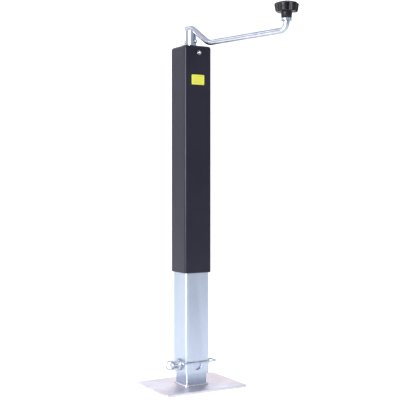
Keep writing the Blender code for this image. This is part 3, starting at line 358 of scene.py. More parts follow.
# ---- material helpers --------------------------------------------------------
class Look:
    """A node material under construction. Its nodes read the object's own coordinates, in metres."""

    def __init__(self, name, color, roughness, metallic=0.0, **sockets):
        self.material = bpy.data.materials.new(name)
        self.material.use_nodes = True
        self.tree = self.material.node_tree
        self.shader = self.tree.nodes["Principled BSDF"]
        self.shader.inputs["Base Color"].default_value = (*color, 1.0)
        self.shader.inputs["Roughness"].default_value = roughness
        self.shader.inputs["Metallic"].default_value = metallic
        for socket, value in sockets.items():
            self.shader.inputs[socket.replace("_", " ")].default_value = value
        self.coordinates = self.tree.nodes.new("ShaderNodeTexCoord").outputs["Object"]
        self.normal = None

    def node(self, kind, **inputs):
        """A node with its inputs set by value or linked."""
        made = self.tree.nodes.new(kind)
        for name, value in inputs.items():
            self.feed(made.inputs[name.replace("_", " ")], value)
        return made

    def feed(self, socket, value):
        """Links an output or sets a plain value."""
        if isinstance(value, bpy.types.NodeSocket):
            self.tree.links.new(value, socket)
        else:
            socket.default_value = value

    def stretched(self, scale):
        """The object's coordinates, scaled by axis."""
        return self.node("ShaderNodeMapping", Vector=self.coordinates, Scale=scale).outputs["Vector"]

    def noise(self, scale, detail=3.0, roughness=0.55, stretch=(1, 1, 1), distortion=0.0):
        """Noise from 0 to 1, with so many features to a metre."""
        made = self.node(
            "ShaderNodeTexNoise",
            Vector=self.stretched(stretch),
            Scale=scale,
            Detail=detail,
            Roughness=roughness,
            Distortion=distortion,
        )
        return made.outputs["Fac"]

    def cells(self, scale, output):
        """Cells round many scattered points: the Distance to the nearest, or a random Color for each."""
        return self.node("ShaderNodeTexVoronoi", Vector=self.coordinates, Scale=scale).outputs[output]

    def fit(self, value, low, high, to_low=0.0, to_high=1.0):
        """Maps one range to another, and clamps."""
        made = self.node("ShaderNodeMapRange", Value=value)
        for name, number in zip(("From Min", "From Max", "To Min", "To Max"), (low, high, to_low, to_high)):
            made.inputs[name].default_value = number
        return made.outputs["Result"]

    def maths(self, operation, first, second=0.0):
        """One arithmetic step."""
        made = self.tree.nodes.new("ShaderNodeMath")
        made.operation = operation
        self.feed(made.inputs[0], first)
        self.feed(made.inputs[1], second)
        return made.outputs["Value"]

    def mix(self, share, first, second):
        """A blend of two colours."""
        made = self.tree.nodes.new("ShaderNodeMix")
        made.data_type = "RGBA"
        self.feed(made.inputs["Factor"], share)
        self.feed(made.inputs["A"], first if isinstance(first, bpy.types.NodeSocket) else (*first, 1.0))
        self.feed(made.inputs["B"], second if isinstance(second, bpy.types.NodeSocket) else (*second, 1.0))
        return made.outputs["Result"]

    def color(self, value):
        """Sets the base colour."""
        self.feed(self.shader.inputs["Base Color"], value)

    def roughness(self, value):
        """Sets the roughness."""
        self.feed(self.shader.inputs["Roughness"], value)

    def bump(self, height, strength, depth):
        """Adds one layer of bump, of the given depth in metres."""
        made = self.node("ShaderNodeBump", Height=height, Strength=strength, Distance=depth)
        if self.normal is not None:
            self.feed(made.inputs["Normal"], self.normal)
        self.normal = made.outputs["Normal"]
        self.feed(self.shader.inputs["Normal"], self.normal)

    def coordinate(self, axis):
        """One of the object's coordinates."""
        return self.node("ShaderNodeSeparateXYZ", Vector=self.coordinates).outputs[axis]


# ---- materials ---------------------------------------------------------------
def powder_coat():
    """Black powder coat: fine orange peel, slow changes of gloss, a few fine scuffs and dust specks."""
    look = Look("powder_coat_black", (0.010, 0.010, 0.014), 0.34, Specular_Tint=(0.82, 0.82, 1.0, 1.0))
    look.shader.inputs["Specular IOR Level"].default_value = 0.34
    slow = look.noise(9.0, 2.0)
    look.color(look.mix(look.fit(slow, 0.3, 0.7), (0.008, 0.008, 0.014), (0.011, 0.011, 0.018)))
    scuffs = look.fit(look.noise(60.0, 6.0, 0.75, stretch=(6, 6, 0.6)), 0.6, 0.78)
    gloss = look.fit(slow, 0.25, 0.75, 0.30, 0.38)
    look.roughness(look.maths("ADD", gloss, look.maths("MULTIPLY", scuffs, 0.1)))
    look.bump(look.noise(620.0, 2.0, 0.5), 0.32, 0.00012)
    look.bump(look.noise(2600.0, 1.0), 0.12, 0.00004)
    return look.material


def zinc_plate(name, bright, dull, roughness):
    """Clear zinc plating on drawn steel tube: fine lines along it, soft clouds and small marks."""
    look = Look(name, bright, roughness, 1.0)
    clouds = look.noise(16.0, 4.0, 0.6, stretch=(1, 1, 0.45), distortion=0.6)
    lines = look.noise(420.0, 3.0, 0.6, stretch=(1, 1, 0.012))
    grain_colors = look.node("ShaderNodeSeparateColor", Color=look.cells(330.0, "Color"))
    grains = grain_colors.outputs["Red"]
    tone = look.maths("ADD", look.maths("MULTIPLY", clouds, 0.62), look.maths("MULTIPLY", lines, 0.3))
    tone = look.maths("ADD", tone, look.maths("MULTIPLY", grains, 0.08))
    look.color(look.mix(look.fit(tone, 0.32, 0.68), dull, bright))
    marks = look.fit(look.noise(95.0, 7.0, 0.8, stretch=(1, 1, 0.35)), 0.62, 0.74)
    rough = look.fit(clouds, 0.3, 0.7, roughness - 0.05, roughness + 0.07)
    look.roughness(look.maths("ADD", rough, look.maths("MULTIPLY", marks, 0.12)))
    look.bump(lines, 0.22, 0.00006)
    look.bump(look.noise(1500.0, 2.0), 0.10, 0.00003)
    return look.material


def foot_plate_zinc():
    """Zinc plating on rolled plate: wide warm and cool clouds, rolling grain and a rougher skin."""
    look = Look("zinc_foot_plate", (0.76, 0.73, 0.76), 0.42, 1.0, Specular_Tint=(0.74, 0.70, 0.74, 1.0))
    clouds = look.noise(13.0, 5.0, 0.62, distortion=1.2)
    tints = look.noise(7.0, 2.0, 0.5, distortion=0.5)
    warm = look.mix(look.fit(clouds, 0.35, 0.65), (0.66, 0.61, 0.63), (0.80, 0.75, 0.765))
    cool = look.mix(look.fit(clouds, 0.35, 0.65), (0.60, 0.605, 0.66), (0.76, 0.77, 0.82))
    look.color(look.mix(look.fit(tints, 0.4, 0.6), warm, cool))
    grain = look.noise(260.0, 3.0, 0.65, stretch=(0.06, 1, 1))
    skin = look.maths("ADD", clouds, look.maths("MULTIPLY", grain, 0.4))
    look.roughness(look.fit(skin, 0.45, 0.95, 0.36, 0.54))
    look.bump(grain, 0.2, 0.00008)
    look.bump(look.cells(420.0, "Distance"), 0.12, 0.00008)
    return look.material


def bright_zinc(name, bright, dull):
    """Bright zinc on rod, wire and turned parts: glossy, with painted shade on the edges, fine pits and
    duller patches.
    """
    # The dark grey Specular Tint is painted shade: it darkens the reflection at every grazing edge, in place
    # of dark surroundings mirrored there.
    look = Look(name, bright, 0.16, 1.0, Specular_Tint=(0.30, 0.32, 0.38, 1.0))
    patches = look.noise(70.0, 4.0, 0.6)
    look.color(look.mix(look.fit(patches, 0.35, 0.68), dull, bright))
    look.roughness(look.fit(patches, 0.3, 0.72, 0.22, 0.12))
    look.bump(look.noise(900.0, 3.0, 0.6), 0.10, 0.00005)
    return look.material


def moulded_plastic():
    """Black moulded plastic: fine spark-eroded texture and slow changes of gloss."""
    look = Look("moulded_black_plastic", (0.008, 0.008, 0.010), 0.33, Specular_IOR_Level=0.27)
    slow = look.noise(55.0, 3.0)
    look.color(look.mix(look.fit(slow, 0.3, 0.7), (0.004, 0.004, 0.006), (0.008, 0.008, 0.010)))
    look.roughness(look.fit(slow, 0.3, 0.7, 0.32, 0.42))
    look.bump(look.noise(2400.0, 2.0, 0.6), 0.3, 0.00006)
    look.bump(look.noise(240.0, 2.0), 0.08, 0.0001)
    return look.material


def machined(name, base, roughness, film, tones, shine, **sockets):
    """Machined metal inside the jack, with tool marks and a film of grease or of tarnish."""
    look = Look(name, base, roughness, 1.0, **sockets)
    marks = look.noise(700.0, 3.0, 0.6, stretch=(0.2, 0.2, 1))
    scale, detail, fineness, film_start = film
    clouds = look.noise(scale, detail, fineness)
    look.color(look.mix(look.fit(clouds, film_start, 0.7), *tones))
    look.roughness(look.fit(marks, 0.3, 0.7, *shine))
    look.bump(marks, 0.2, 0.00005)
    return look.material


def machined_steel():
    """Steel with a film of grease."""
    film, tones = (80.0, 3.0, 0.6, 0.35), ((0.48, 0.49, 0.51), (0.34, 0.31, 0.26))
    coat = {"Coat_Weight": 0.25, "Coat_Roughness": 0.2}
    return machined("machined_steel", (0.42, 0.43, 0.45), 0.34, film, tones, (0.26, 0.42), **coat)


def machined_bronze():
    """Bronze with darker tarnish."""
    film, tones = (90.0, 4.0, 0.65, 0.4), ((0.62, 0.42, 0.20), (0.36, 0.22, 0.10))
    return machined("machined_bronze", (0.55, 0.36, 0.16), 0.36, film, tones, (0.28, 0.45))


def black_rubber():
    """Black rubber washer with a dull, slightly dusty skin."""
    look = Look("black_rubber", (0.02, 0.02, 0.021), 0.7)
    dust = look.noise(300.0, 4.0, 0.65)
    look.color(look.mix(look.fit(dust, 0.45, 0.75), (0.016, 0.016, 0.017), (0.05, 0.05, 0.05)))
    look.roughness(look.fit(dust, 0.3, 0.7, 0.62, 0.82))
    look.bump(dust, 0.2, 0.0001)
    return look.material


def weld_metal(name, color):
    """Plated weld metal: patches of random tone, the darker ones rougher."""
    look = Look(name, color, 0.42, 1.0)
    burn = look.noise(240.0, 4.0, 0.7)
    dark = tuple(0.78 * channel for channel in color)
    look.color(look.mix(look.fit(burn, 0.35, 0.65), dark, color))
    look.roughness(look.fit(burn, 0.3, 0.7, 0.5, 0.34))
    look.bump(look.noise(900.0, 3.0), 0.3, 0.0001)
    return look.material


def label_film(centre, width, height):
    """Yellow vinyl label: a plain field with a few faint grey rules in place of print, and a clear film."""
    look = Look("yellow_label_film", (0.90, 0.83, 0.06), 0.38, Coat_Weight=0.4, Coat_Roughness=0.18)
    across = look.maths("SUBTRACT", look.coordinate("X"), centre.x)
    upward = look.maths("SUBTRACT", look.coordinate("Z"), centre.z)
    ink = None
    # Each rule's place up the label, half thickness and half length, as shares of the label.
    rules = [
        (0.30, 0.055, 0.40),
        (0.10, 0.03, 0.36),
        (-0.04, 0.03, 0.40),
        (-0.18, 0.03, 0.33),
        (-0.32, 0.03, 0.38),
    ]
    for place_up, half_thick, half_long in rules:
        off_row = look.maths("ABSOLUTE", look.maths("SUBTRACT", upward, place_up * height))
        off_end = look.maths("ABSOLUTE", across)
        inside_row = look.maths("LESS_THAN", off_row, half_thick * height)
        inside_end = look.maths("LESS_THAN", off_end, half_long * width)
        rule = look.maths("MULTIPLY", inside_row, inside_end)
        ink = rule if ink is None else look.maths("MAXIMUM", ink, rule)
    faded = look.maths("MULTIPLY", ink, look.fit(look.noise(500.0, 2.0), 0.2, 0.8, 0.16, 0.34))
    paper = look.mix(look.noise(120.0, 3.0), (0.62, 0.62, 0.033), (0.67, 0.68, 0.06))
    look.color(look.mix(faded, paper, (0.10, 0.10, 0.06)))
    look.roughness(look.fit(look.noise(200.0), 0.3, 0.7, 0.32, 0.44))
    look.bump(look.noise(400.0, 2.0), 0.06, 0.00005)
    return look.material


# ---- housing -----------------------------------------------------------------
def tube_section(wall, low, high, edge=0.5 * MM):
    """Section of a tube's wall with its edges broken."""
    return eased([(0, low), (0, high), (wall, high), (wall, low)], edge)


def make_outer_tube(look):
    """The black outer tube, with its edges broken and the fitting's hole."""
    section = tube_section(OUTER_WALL, outer_low.z, outer_high.z)
    shell = square_loft(section, outer_side, outer_side, TUBE_CORNER, True)
    obj = finish_mesh("outer_tube_shell", shell, look)
    fitting = middle("grease_fitting")
    drill_radius = 3.3 * MM
    at_face = (0, -outer_side / 2, fitting.z)
    drill = hole_cutter(drill_radius, (0, -1, 0), at_face, 2 * OUTER_WALL, 0.2 * MM)
    carve(obj, [drill])
    place(obj, "housing", "black_paint", "outer_tube")


def make_top_cap(look):
    """The pressed cap with its rounded shoulder, and the painted seam where it is welded to the tube."""
    plate = 4.5 * MM
    shoulder = 6.0 * MM
    section = [
        (OUTER_WALL, cap_high.z - plate),
        (OUTER_WALL, cap_low.z + 0.3 * MM),
        (OUTER_WALL - 0.3 * MM, cap_low.z),
        (0.15 * MM, cap_low.z),
        (0, cap_low.z + 0.15 * MM),
    ]
    section += [(shoulder - x, z) for x, z in arc((0, cap_high.z - shoulder), shoulder, 0, 90, 12)]
    section.append((shoulder + 1.0 * MM, cap_high.z))
    shell = square_loft(section, outer_side, outer_side, TUBE_CORNER, False)
    obj = finish_mesh("top_cap_shell", shell, look, 40.0)
    hole = BUSH_RADIUS + GAP
    bore = [(0, -2 * plate), (hole, -2 * plate), (hole, -0.4 * MM), (hole + 4.4 * MM, 4 * MM), (0, 4 * MM)]
    carve(obj, [transformed(turned(bore, 64, False), Matrix.Translation((0, 0, cap_high.z)))])
    place(obj, "housing", "black_paint", "top_cap")
    seam_z = (outer_high.z + cap_low.z) / 2
    half = 0.9 * MM
    out, into = -0.10 * MM, 0.6 * MM
    seam = [(out, seam_z - half), (out, seam_z + half), (into, seam_z + half), (into, seam_z - half)]
    bm = square_loft(eased(seam, 0.4 * MM), outer_side - 0.16 * MM, outer_side - 0.16 * MM, TUBE_CORNER, True)
    place(finish_mesh("cap_seam_weld", bm, look), "housing", "black_paint")


def make_bush(look):
    """The bronze bush, seen as a thin ring round the screw."""
    low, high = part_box("shaft_bush")
    profile = [(BORE_RADIUS, low.z), (BUSH_RADIUS, low.z), (BUSH_RADIUS, high.z), (BORE_RADIUS, high.z)]
    profile = eased(profile, 0.4 * MM)
    place(finish_mesh("bush_ring", turned(profile, 64, True), look), "housing", "bronze", "shaft_bush")


def make_grease_fitting(look):
    """The grease nipple: threaded shank, chamfered hexagon, waist and ball end with its valve dimple."""
    low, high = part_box("grease_fitting")
    centre = middle("grease_fitting")
    wall_face = outer_side / 2
    hex_start = wall_face + GAP
    hex_end = hex_start + 3.0 * MM
    tip = -low.y
    flats = 4.5 * MM
    nipple = [
        (0, -high.y),
        (2.7 * MM, -high.y),
        (3.0 * MM, -high.y + 0.4 * MM),
        (3.0 * MM, hex_start),
        (3.0 * MM, hex_end - 0.4 * MM),
        (2.5 * MM, hex_end + 0.2 * MM),
        (2.3 * MM, hex_end + 1.2 * MM),
        (2.9 * MM, hex_end + 2.0 * MM),
        (3.3 * MM, hex_end + 2.6 * MM),
        (3.2 * MM, hex_end + 3.4 * MM),
        (2.4 * MM, tip - 0.5 * MM),
        (1.3 * MM, tip),
        (0.8 * MM, tip - 0.1 * MM),
        (0.5 * MM, tip - 0.5 * MM),
        (0, tip - 0.5 * MM),
    ]
    outward = along((0, -1, 0), (0, 0, centre.z))
    stem = finish_mesh("grease_nipple", transformed(turned(nipple, 40, False), outward), look, 50.0)
    place(stem, "housing", "bright_zinc", "grease_fitting")
    sides = 48
    bm = bmesh.new()
    rings = []
    levels = [(hex_start, 0.96), (hex_start + 0.35 * MM, 1.0), (hex_end - 0.5 * MM, 1.0), (hex_end, 0.90)]
    for height, trim in levels:
        ring = []
        for i in range(sides):
            angle = FULL_TURN * i / sides
            to_flat = (angle + math.pi / 6) % (math.pi / 3) - math.pi / 6
            limit = flats / math.cos(math.pi / 6) * trim
            radius = min(flats / math.cos(to_flat), limit)
            ring.append(bm.verts.new((radius * math.cos(angle), radius * math.sin(angle), height)))
        rings.append(ring)
    skin(bm, rings, False)
    hexagon = finish_mesh("grease_fitting_hexagon", transformed(bm, outward), look, 20.0)
    place(hexagon, "housing", "bright_zinc")


def make_label():
    """The blank yellow label, a thin film with rounded corners."""
    low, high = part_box("rating_label")
    centre = middle("rating_label")
    width, height = high.x - low.x, high.z - low.z
    thick, edge = high.y - low.y, 1.0 * MM
    section = eased([(edge, 0.0), (0, 0.0), (0, thick), (edge, thick)], 0.12 * MM, 3, False)
    bm = square_loft(section, width, height, 1.2 * MM, False)
    matrix = Matrix.Translation((centre.x, high.y, centre.z)) @ Matrix.Rotation(math.pi / 2, 4, "X")
    obj = finish_mesh("label_film", transformed(bm, matrix), label_film(centre, width, height))
    place(obj, "housing", "yellow_label", "rating_label")


# ---- crank -------------------------------------------------------------------
def crank_shape(bm):
    """Turns a shape made with the arm along X to the crank's resting angle."""
    return transformed(bm, crank_turn)


def make_seal(look):
    """The rubber washer under the socket, with a lip."""
    low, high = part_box("dust_seal")
    outer = (high.x - low.x) / 2
    profile = [
        (BORE_RADIUS, low.z),
        (outer, low.z),
        (outer, low.z + 0.9 * MM),
        (outer - 1.1 * MM, high.z),
        (BORE_RADIUS, high.z),
    ]
    obj = finish_mesh("seal_lip", turned(eased(profile, 0.35 * MM), 64, True), look)
    place(obj, "screw", "black_rubber", "dust_seal")


def make_socket(look):
    """The sleeve over the screw, with broken edges and the crank pin's cross hole."""
    outer = size("crank_socket").x / 2
    low, high = socket_low.z, socket_high.z
    profile = eased([(BORE_RADIUS, low), (outer, low), (outer, high), (BORE_RADIUS, high)], 0.6 * MM)
    obj = finish_mesh("socket_sleeve", crank_shape(turned(profile, 72, True)), look)
    points = rod_path()
    notch = crank_shape(swept(points, [ROD_RADIUS + GAP] * len(points), 32, False, False))
    drill = hole_cutter(CRANK_PIN_RADIUS + GAP, arm_direction, (0, 0, pin_height), outer - 0.3 * MM, 0.3 * MM)
    carve(obj, [notch, drill])
    place(obj, "screw", "bright_zinc", "crank_socket")


def rod_path():
    """Centre line of the bent rod, with the arm along X."""
    top = socket_high.z - 1.0 * MM + ROD_RADIUS
    arm = cap_high.z + 4.4 * MM
    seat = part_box("knob_ferrule")[0].z - GAP
    corners = [
        (-14.0 * MM, 0, top),
        (3.5 * MM, 0, top),
        (48.5 * MM, 0, arm),
        (crank_radius, 0, arm + 5.3 * MM),
        (crank_radius, 0, seat),
    ]
    return bent_path(corners, [12 * MM, 26 * MM, 15.2 * MM])


def make_crank_rod(look):
    """The bent rod with a domed tail and a stepped tenon that carries the knob."""
    points = rod_path()
    tenon_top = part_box("crank_rod")[1].z
    radii = [ROD_RADIUS] * len(points)
    seat = points[-1]
    edge = 0.4 * MM
    points[-1] = seat - UP * edge
    points += [seat, seat, Vector((seat.x, 0, tenon_top))]
    radii += [ROD_RADIUS - edge, TENON_RADIUS, TENON_RADIUS]
    obj = finish_mesh("crank_bent_rod", crank_shape(swept(points, radii, 32)), look)
    place(obj, "screw", "bright_zinc", "crank_rod")


def make_rod_welds(look):
    """The rippled beads that hold the rod on the rim of the socket, one on each side of the rod."""
    rim = (BORE_RADIUS + size("crank_socket").x / 2) / 2
    for number, side in enumerate((1, -1)):
        points, radii = [], []
        steps, ripples = 60, 9
        start, sweep = 24, 132   # degrees round the rim
        for i in range(steps + 1):
            share = i / steps
            along_rod = rim * math.cos(math.radians(start + sweep * share)) * 1.02
            across = side * (3.3 + 1.2 * math.sin(math.pi * share)) * MM
            height = socket_high.z + (0.55 + 0.36 * math.sin(math.pi * share)) * MM
            points.append(Vector((along_rod, across, height)))
            ripple = 1.0 + 0.10 * math.sin(share * FULL_TURN * ripples)
            radii.append(1.5 * MM * ripple * (0.55 + 0.45 * math.sin(math.pi * share)))
        bm = crank_shape(swept(points, radii, 14))
        place(finish_mesh(f"rod_weld_{number + 1}", bm, look, 80.0), "screw", "bright_zinc")


def make_crank_pin(look):
    """The crank pin with a domed tip, a shoulder and a flat tang for the ring."""
    outer = size("crank_socket").x / 2
    shoulder = -outer - GAP
    shoulder_end = shoulder - 3.0 * MM
    tang_end = shoulder - 9.0 * MM
    tip = outer + 4.2 * MM
    head = 4.0 * MM
    profile = [(0, shoulder_end), (head - 0.5 * MM, shoulder_end), (head, shoulder_end + 0.5 * MM)]
    profile += [(head, shoulder - 0.4 * MM), (head - 0.4 * MM, shoulder), (CRANK_PIN_RADIUS, shoulder)]
    profile += arc((CRANK_PIN_RADIUS - 1.6 * MM, tip - 1.6 * MM), 1.6 * MM, 0, 90, 8)
    profile.append((0, tip))
    bm = transformed(turned(profile, 48, False), along((1, 0, 0), (0, 0, pin_height)))
    obj = finish_mesh("crank_lock_pin", crank_shape(bm), look, 40.0)
    place(obj, "crank_pin", "bright_zinc", "crank_pin")
    length = shoulder_end - tang_end + 0.6 * MM
    half = 1.5 * MM
    section = eased([(half, -half), (0, -half), (0, half), (half, half)], 0.4 * MM, 3, False)
    tang = square_loft(section, length, 6.2 * MM, 2.6 * MM, False)
    centre = (tang_end + length / 2, 0, pin_height)
    tang_obj = finish_mesh("crank_pin_tang", crank_shape(transformed(tang, Matrix.Translation(centre))), look)
    hole_centre = crank_turn @ Vector((ring_hole, 0, pin_height))
    carve(tang_obj, [hole_cutter(1.4 * MM, (0, 0, 1), hole_centre, half, 0.2 * MM, 32)])
    place(tang_obj, "crank_pin", "bright_zinc")


def make_pin_ring(look):
    """The split ring on the tang: two flat coils wound as one wire."""
    outer = size("crank_pin_ring").z / 2
    wire = 0.46 * MM
    radius = outer - 2 * wire
    centre = Vector((ring_hole - radius, 0, pin_height))
    turns, steps, start = 1.93, 150, math.radians(40)
    spread = 2 * wire * 1.9      # between the two coils
    points, radii = [], []
    for i in range(steps + 1):
        angle = start + turns * FULL_TURN * i / steps
        side = (i / steps - 0.5) * spread
        points.append(centre + Vector((radius * math.cos(angle), side, radius * math.sin(angle))))
        radii.append(wire)
    obj = finish_mesh("crank_split_ring", crank_shape(swept(points, radii, 12)), look)
    place(obj, "pin_ring", "bright_zinc", "crank_pin_ring")


# ---- knob --------------------------------------------------------------------
KNOB_LOBES = 6
KNOB_LOBE_STEPS = 28
KNOB_VALLEY_POWER = 2.6          # more than 1 makes the lobes wide and the valleys narrow
KNOB_LOBE_TURN = math.radians(-10.0)
KNOB_RADIUS = 24.15 * MM
KNOB_VALLEY_RADIUS = 18.5 * MM
KNOB_NECK_HEIGHT = 11.0 * MM
KNOB_CROWN = 2.8 * MM
KNOB_DRAFT = 2.0 * MM


def at_knob(height):
    """The matrix that moves a shape made round Z to the knob's axis, at a height."""
    return Matrix.Translation((knob_axis.x, knob_axis.y, height))


def make_knob(look):
    """The star knob: tapered neck, drafted lobes with round edges, a parting line, a pocket for its cap."""
    low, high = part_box("knob")
    height = high.z - low.z
    count = KNOB_LOBES * KNOB_LOBE_STEPS
    neck_low, neck_high = 10.2 * MM, 11.0 * MM
    pocket, bore = 8.0 * MM, TENON_RADIUS + GAP
    pocket_depth = 5.5 * MM

    def star(inset, z):
        ring = []
        for i in range(count):
            angle = FULL_TURN * i / count
            wave = math.cos(KNOB_LOBES * (angle - KNOB_LOBE_TURN))
            share = 1 - ((1 - wave) / 2) ** KNOB_VALLEY_POWER
            radius = KNOB_VALLEY_RADIUS + (KNOB_RADIUS - KNOB_VALLEY_RADIUS) * share - inset
            ring.append(bm.verts.new((radius * math.cos(angle), radius * math.sin(angle), z)))
        return ring

    def circles(*profile):
        return [circle(bm, radius, z, count) for radius, z in profile]

    bm = bmesh.new()
    base = KNOB_NECK_HEIGHT
    fillet = 1.6 * MM
    rings = circles((neck_low - 0.5 * MM, 0), (neck_low, 0.5 * MM), (neck_high, base - fillet))
    rise = arc((neck_high + fillet, base - fillet), fillet, 180, 90, 5)
    rings += circles(*rise[1:])
    bottom_edge, top_edge = 2.4 * MM, 2.6 * MM
    rings += [
        star(KNOB_DRAFT + bottom_edge - x, base + bottom_edge + z)
        for x, z in arc((0, 0), bottom_edge, -90, 0, 6)
    ]
    lobe_top = height - KNOB_CROWN
    seam = (base + lobe_top) / 2
    share = (seam - base - bottom_edge) / (lobe_top - base - bottom_edge - top_edge)
    drafted = KNOB_DRAFT * (1 - share)
    half_seam = 0.25 * MM
    rings.append(star(drafted + 0.02 * MM, seam - half_seam))
    rings.append(star(drafted - 0.13 * MM, seam))
    rings.append(star(drafted - 0.02 * MM, seam + half_seam))
    rings += [star(top_edge - x, lobe_top - top_edge + z) for x, z in arc((0, 0), top_edge, 0, 78, 6)]
    rings += circles(
        (13.8 * MM, height - 0.35 * MM),
        (12.6 * MM, height - 0.05 * MM),
        (11.4 * MM, height),
        (pocket + 0.5 * MM, height),
        (pocket, height - 0.4 * MM),
        (pocket, height - pocket_depth),
        (bore, height - pocket_depth),
        (bore, 0.4 * MM),
        (bore + 0.4 * MM, 0),
    )
    skin(bm, rings, True)
    bm = transformed(bm, at_knob(low.z) @ crank_turn)
    place(finish_mesh("star_knob", bm, look, 40.0), "knob", "black_plastic", "knob")


def make_knob_cap(look):
    """The slightly domed disc that closes the knob's pocket."""
    low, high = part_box("knob_cap")
    radius = (high.x - low.x) / 2
    thick = high.z - low.z
    profile = [(0, 0), (radius - 0.3 * MM, 0), (radius, 0.3 * MM), (radius, thick - 0.9 * MM)]
    profile += [(radius - 0.5 * MM, thick - 0.45 * MM), (radius * 0.6, thick - 0.08 * MM), (0, thick)]
    bm = transformed(turned(profile, 64, False), at_knob(low.z))
    place(finish_mesh("knob_cap_disc", bm, look, 40.0), "knob", "black_plastic", "knob_cap")


def make_ferrule(look):
    """The bright ferrule under the knob, a drawn cup with a rolled rim."""
    low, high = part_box("knob_ferrule")
    outer = (high.x - low.x) / 2
    tall = high.z - low.z
    wall = 1.5 * MM
    inner = TENON_RADIUS + GAP
    cavity = outer - wall - 0.5 * MM
    profile = [
        (inner, tall),
        (outer - 1.2 * MM, tall),
        (outer - 0.5 * MM, tall - 1.4 * MM),
        (outer - 0.6 * MM, 1.2 * MM),
        (outer, 0.6 * MM),
        (outer - 0.3 * MM, 0),
        (outer - wall, 0.2 * MM),
        (cavity, 1.4 * MM),
        (cavity, tall - wall),
        (inner, tall - wall),
    ]
    bm = transformed(turned(eased(profile, 0.5 * MM), 64, True), at_knob(low.z))
    place(finish_mesh("knob_ferrule_cup", bm, look, 40.0), "screw", "bright_zinc", "knob_ferrule")


# ---- inner tube, leg and foot ------------------------------------------------
def make_inner_tube(look):
    """The zinc plated inner tube, cross drilled both ways, with broken edges."""
    corner = TUBE_CORNER - 0.5 * MM
    section = tube_section(INNER_WALL, inner_low.z, inner_high.z, 0.6 * MM)
    obj = finish_mesh("inner_tube_shell", square_loft(section, inner_side, inner_side, corner, True), look)
    for axis in ((1, 0, 0), (0, 1, 0)):
        carve(obj, [hole_cutter(PIN_HOLE, axis, (0, 0, pin_z), inner_side / 2)])
    place(obj, "leg", "zinc_plate", "inner_tube")


def make_drop_leg(look):
    """The zinc plated drop leg with its row of pin holes in the side faces."""
    corner = TUBE_CORNER - 1.0 * MM
    section = tube_section(LEG_WALL, leg_low.z, leg_high.z)
    obj = finish_mesh("drop_leg_shell", square_loft(section, leg_side, leg_side, corner, True), look)
    heights = [pin_z + i * PIN_HOLE_SPACING for i in range(PIN_HOLE_COUNT)]
    carve(obj, [hole_cutter(PIN_HOLE, (1, 0, 0), (0, 0, height), leg_side / 2) for height in heights])
    place(obj, "leg", "zinc_plate", "drop_leg")


def make_foot(look):
    """The foot plate with rolled upper edges and sharper sheared lower ones."""
    wide, deep = foot_high.x - foot_low.x, foot_high.y - foot_low.y
    top_edge, low_edge = 0.9 * MM, 0.4 * MM
    section = [(3 * MM, foot_low.z), (low_edge, foot_low.z), (0, foot_low.z + low_edge)]
    section += [(top_edge - x, foot_high.z - top_edge + z) for x, z in arc((0, 0), top_edge, 0, 90, 5)]
    section.append((3 * MM, foot_high.z))
    bm = square_loft(section, wide, deep, 2.5 * MM, False)
    place(finish_mesh("foot_plate", bm, look, 40.0), "leg", "foot_zinc", "base_plate")


def make_foot_weld(look):
    """One rippled fillet bead all round the leg, as one closed ring."""
    corner = TUBE_CORNER - 1.0 * MM
    reach = 1.5 * MM
    bead, ripple_length, step_length = 3.1 * MM, 2.6 * MM, 0.55 * MM
    loop = rounded_loop(leg_side + 2 * reach, leg_side + 2 * reach, corner + reach, 8)
    outline = [Vector((p.x, p.y, 0)) for p in loop]
    dense = []
    for here, after in zip(outline, outline[1:] + outline[:1]):
        steps = max(1, round((after - here).length / step_length))
        dense += [here.lerp(after, i / steps) for i in range(steps)]
    total = len(dense)
    ripples = round(4 * leg_side / ripple_length)
    bm = bmesh.new()
    rings = []
    sides = 12
    for i, point in enumerate(dense):
        ahead, behind = dense[(i + 1) % total], dense[i - 1]
        outward = (ahead - behind).normalized().cross(UP)
        phase = FULL_TURN * ripples * i / total
        wander = 0.12 * math.sin(FULL_TURN * 5 * i / total) + 0.08 * math.sin(FULL_TURN * 13 * i / total + 1)
        swell = (1 + 0.07 * math.sin(phase) + wander * 0.5) * bead
        ring = []
        for k in range(sides):
            angle = FULL_TURN * k / sides
            lean = 0.036 * swell * math.sin(phase + angle)
            height = max(foot_high.z + 0.9 * MM + swell * 0.92 * math.sin(angle), foot_high.z + 0.02 * MM)
            ring.append(bm.verts.new(point + outward * (swell * math.cos(angle) + lean) + UP * height))
        rings.append(ring)
    skin(bm, rings, True)
    welds = ("foot_weld_right", "foot_weld_back", "foot_weld_left", "foot_weld_front")
    place(finish_mesh("foot_weld_bead", bm, look, 80.0), "leg", "foot_zinc", *welds)


# ---- leg pin and bail --------------------------------------------------------
def make_leg_pin(look):
    """The leg pin: rounded head with the bail's hole, flange, shank and tapered tip."""
    start, tip = pin_low.x, pin_high.x
    flange_face = -inner_side / 2 - GAP
    flange, head, shank, nose = 12.0 * MM, PIN_HEAD_RADIUS, 8.0 * MM, 5.0 * MM
    flange_back = flange_face - 4.0 * MM
    bevel = 1.2 * MM
    profile = [
        (0, start),
        (head - bevel, start),
        (head, start + bevel),
        (head, flange_back - bevel),
        (head + bevel, flange_back),
        (flange - 0.5 * MM, flange_back),
        (flange, flange_back + 0.5 * MM),
        (flange, flange_face - 0.4 * MM),
        (flange - 0.4 * MM, flange_face),
        (shank, flange_face),
        (shank, tip - 6.0 * MM),
        (nose + 0.6 * MM, tip - 0.9 * MM),
        (nose - 0.6 * MM, tip),
        (0, tip),
    ]
    profile = eased(profile, 0.7 * MM, 4, False)
    bm = transformed(turned(profile, 64, False), along((1, 0, 0), (0, 0, pin_z)))
    obj = finish_mesh("leg_pin_body", bm, look, 40.0)
    carve(obj, [hole_cutter(1.8 * MM, (0, 0, 1), bail_pivot, head - 0.2 * MM, 0.3 * MM, 32)])
    place(obj, "leg", "bright_zinc", "leg_pin")


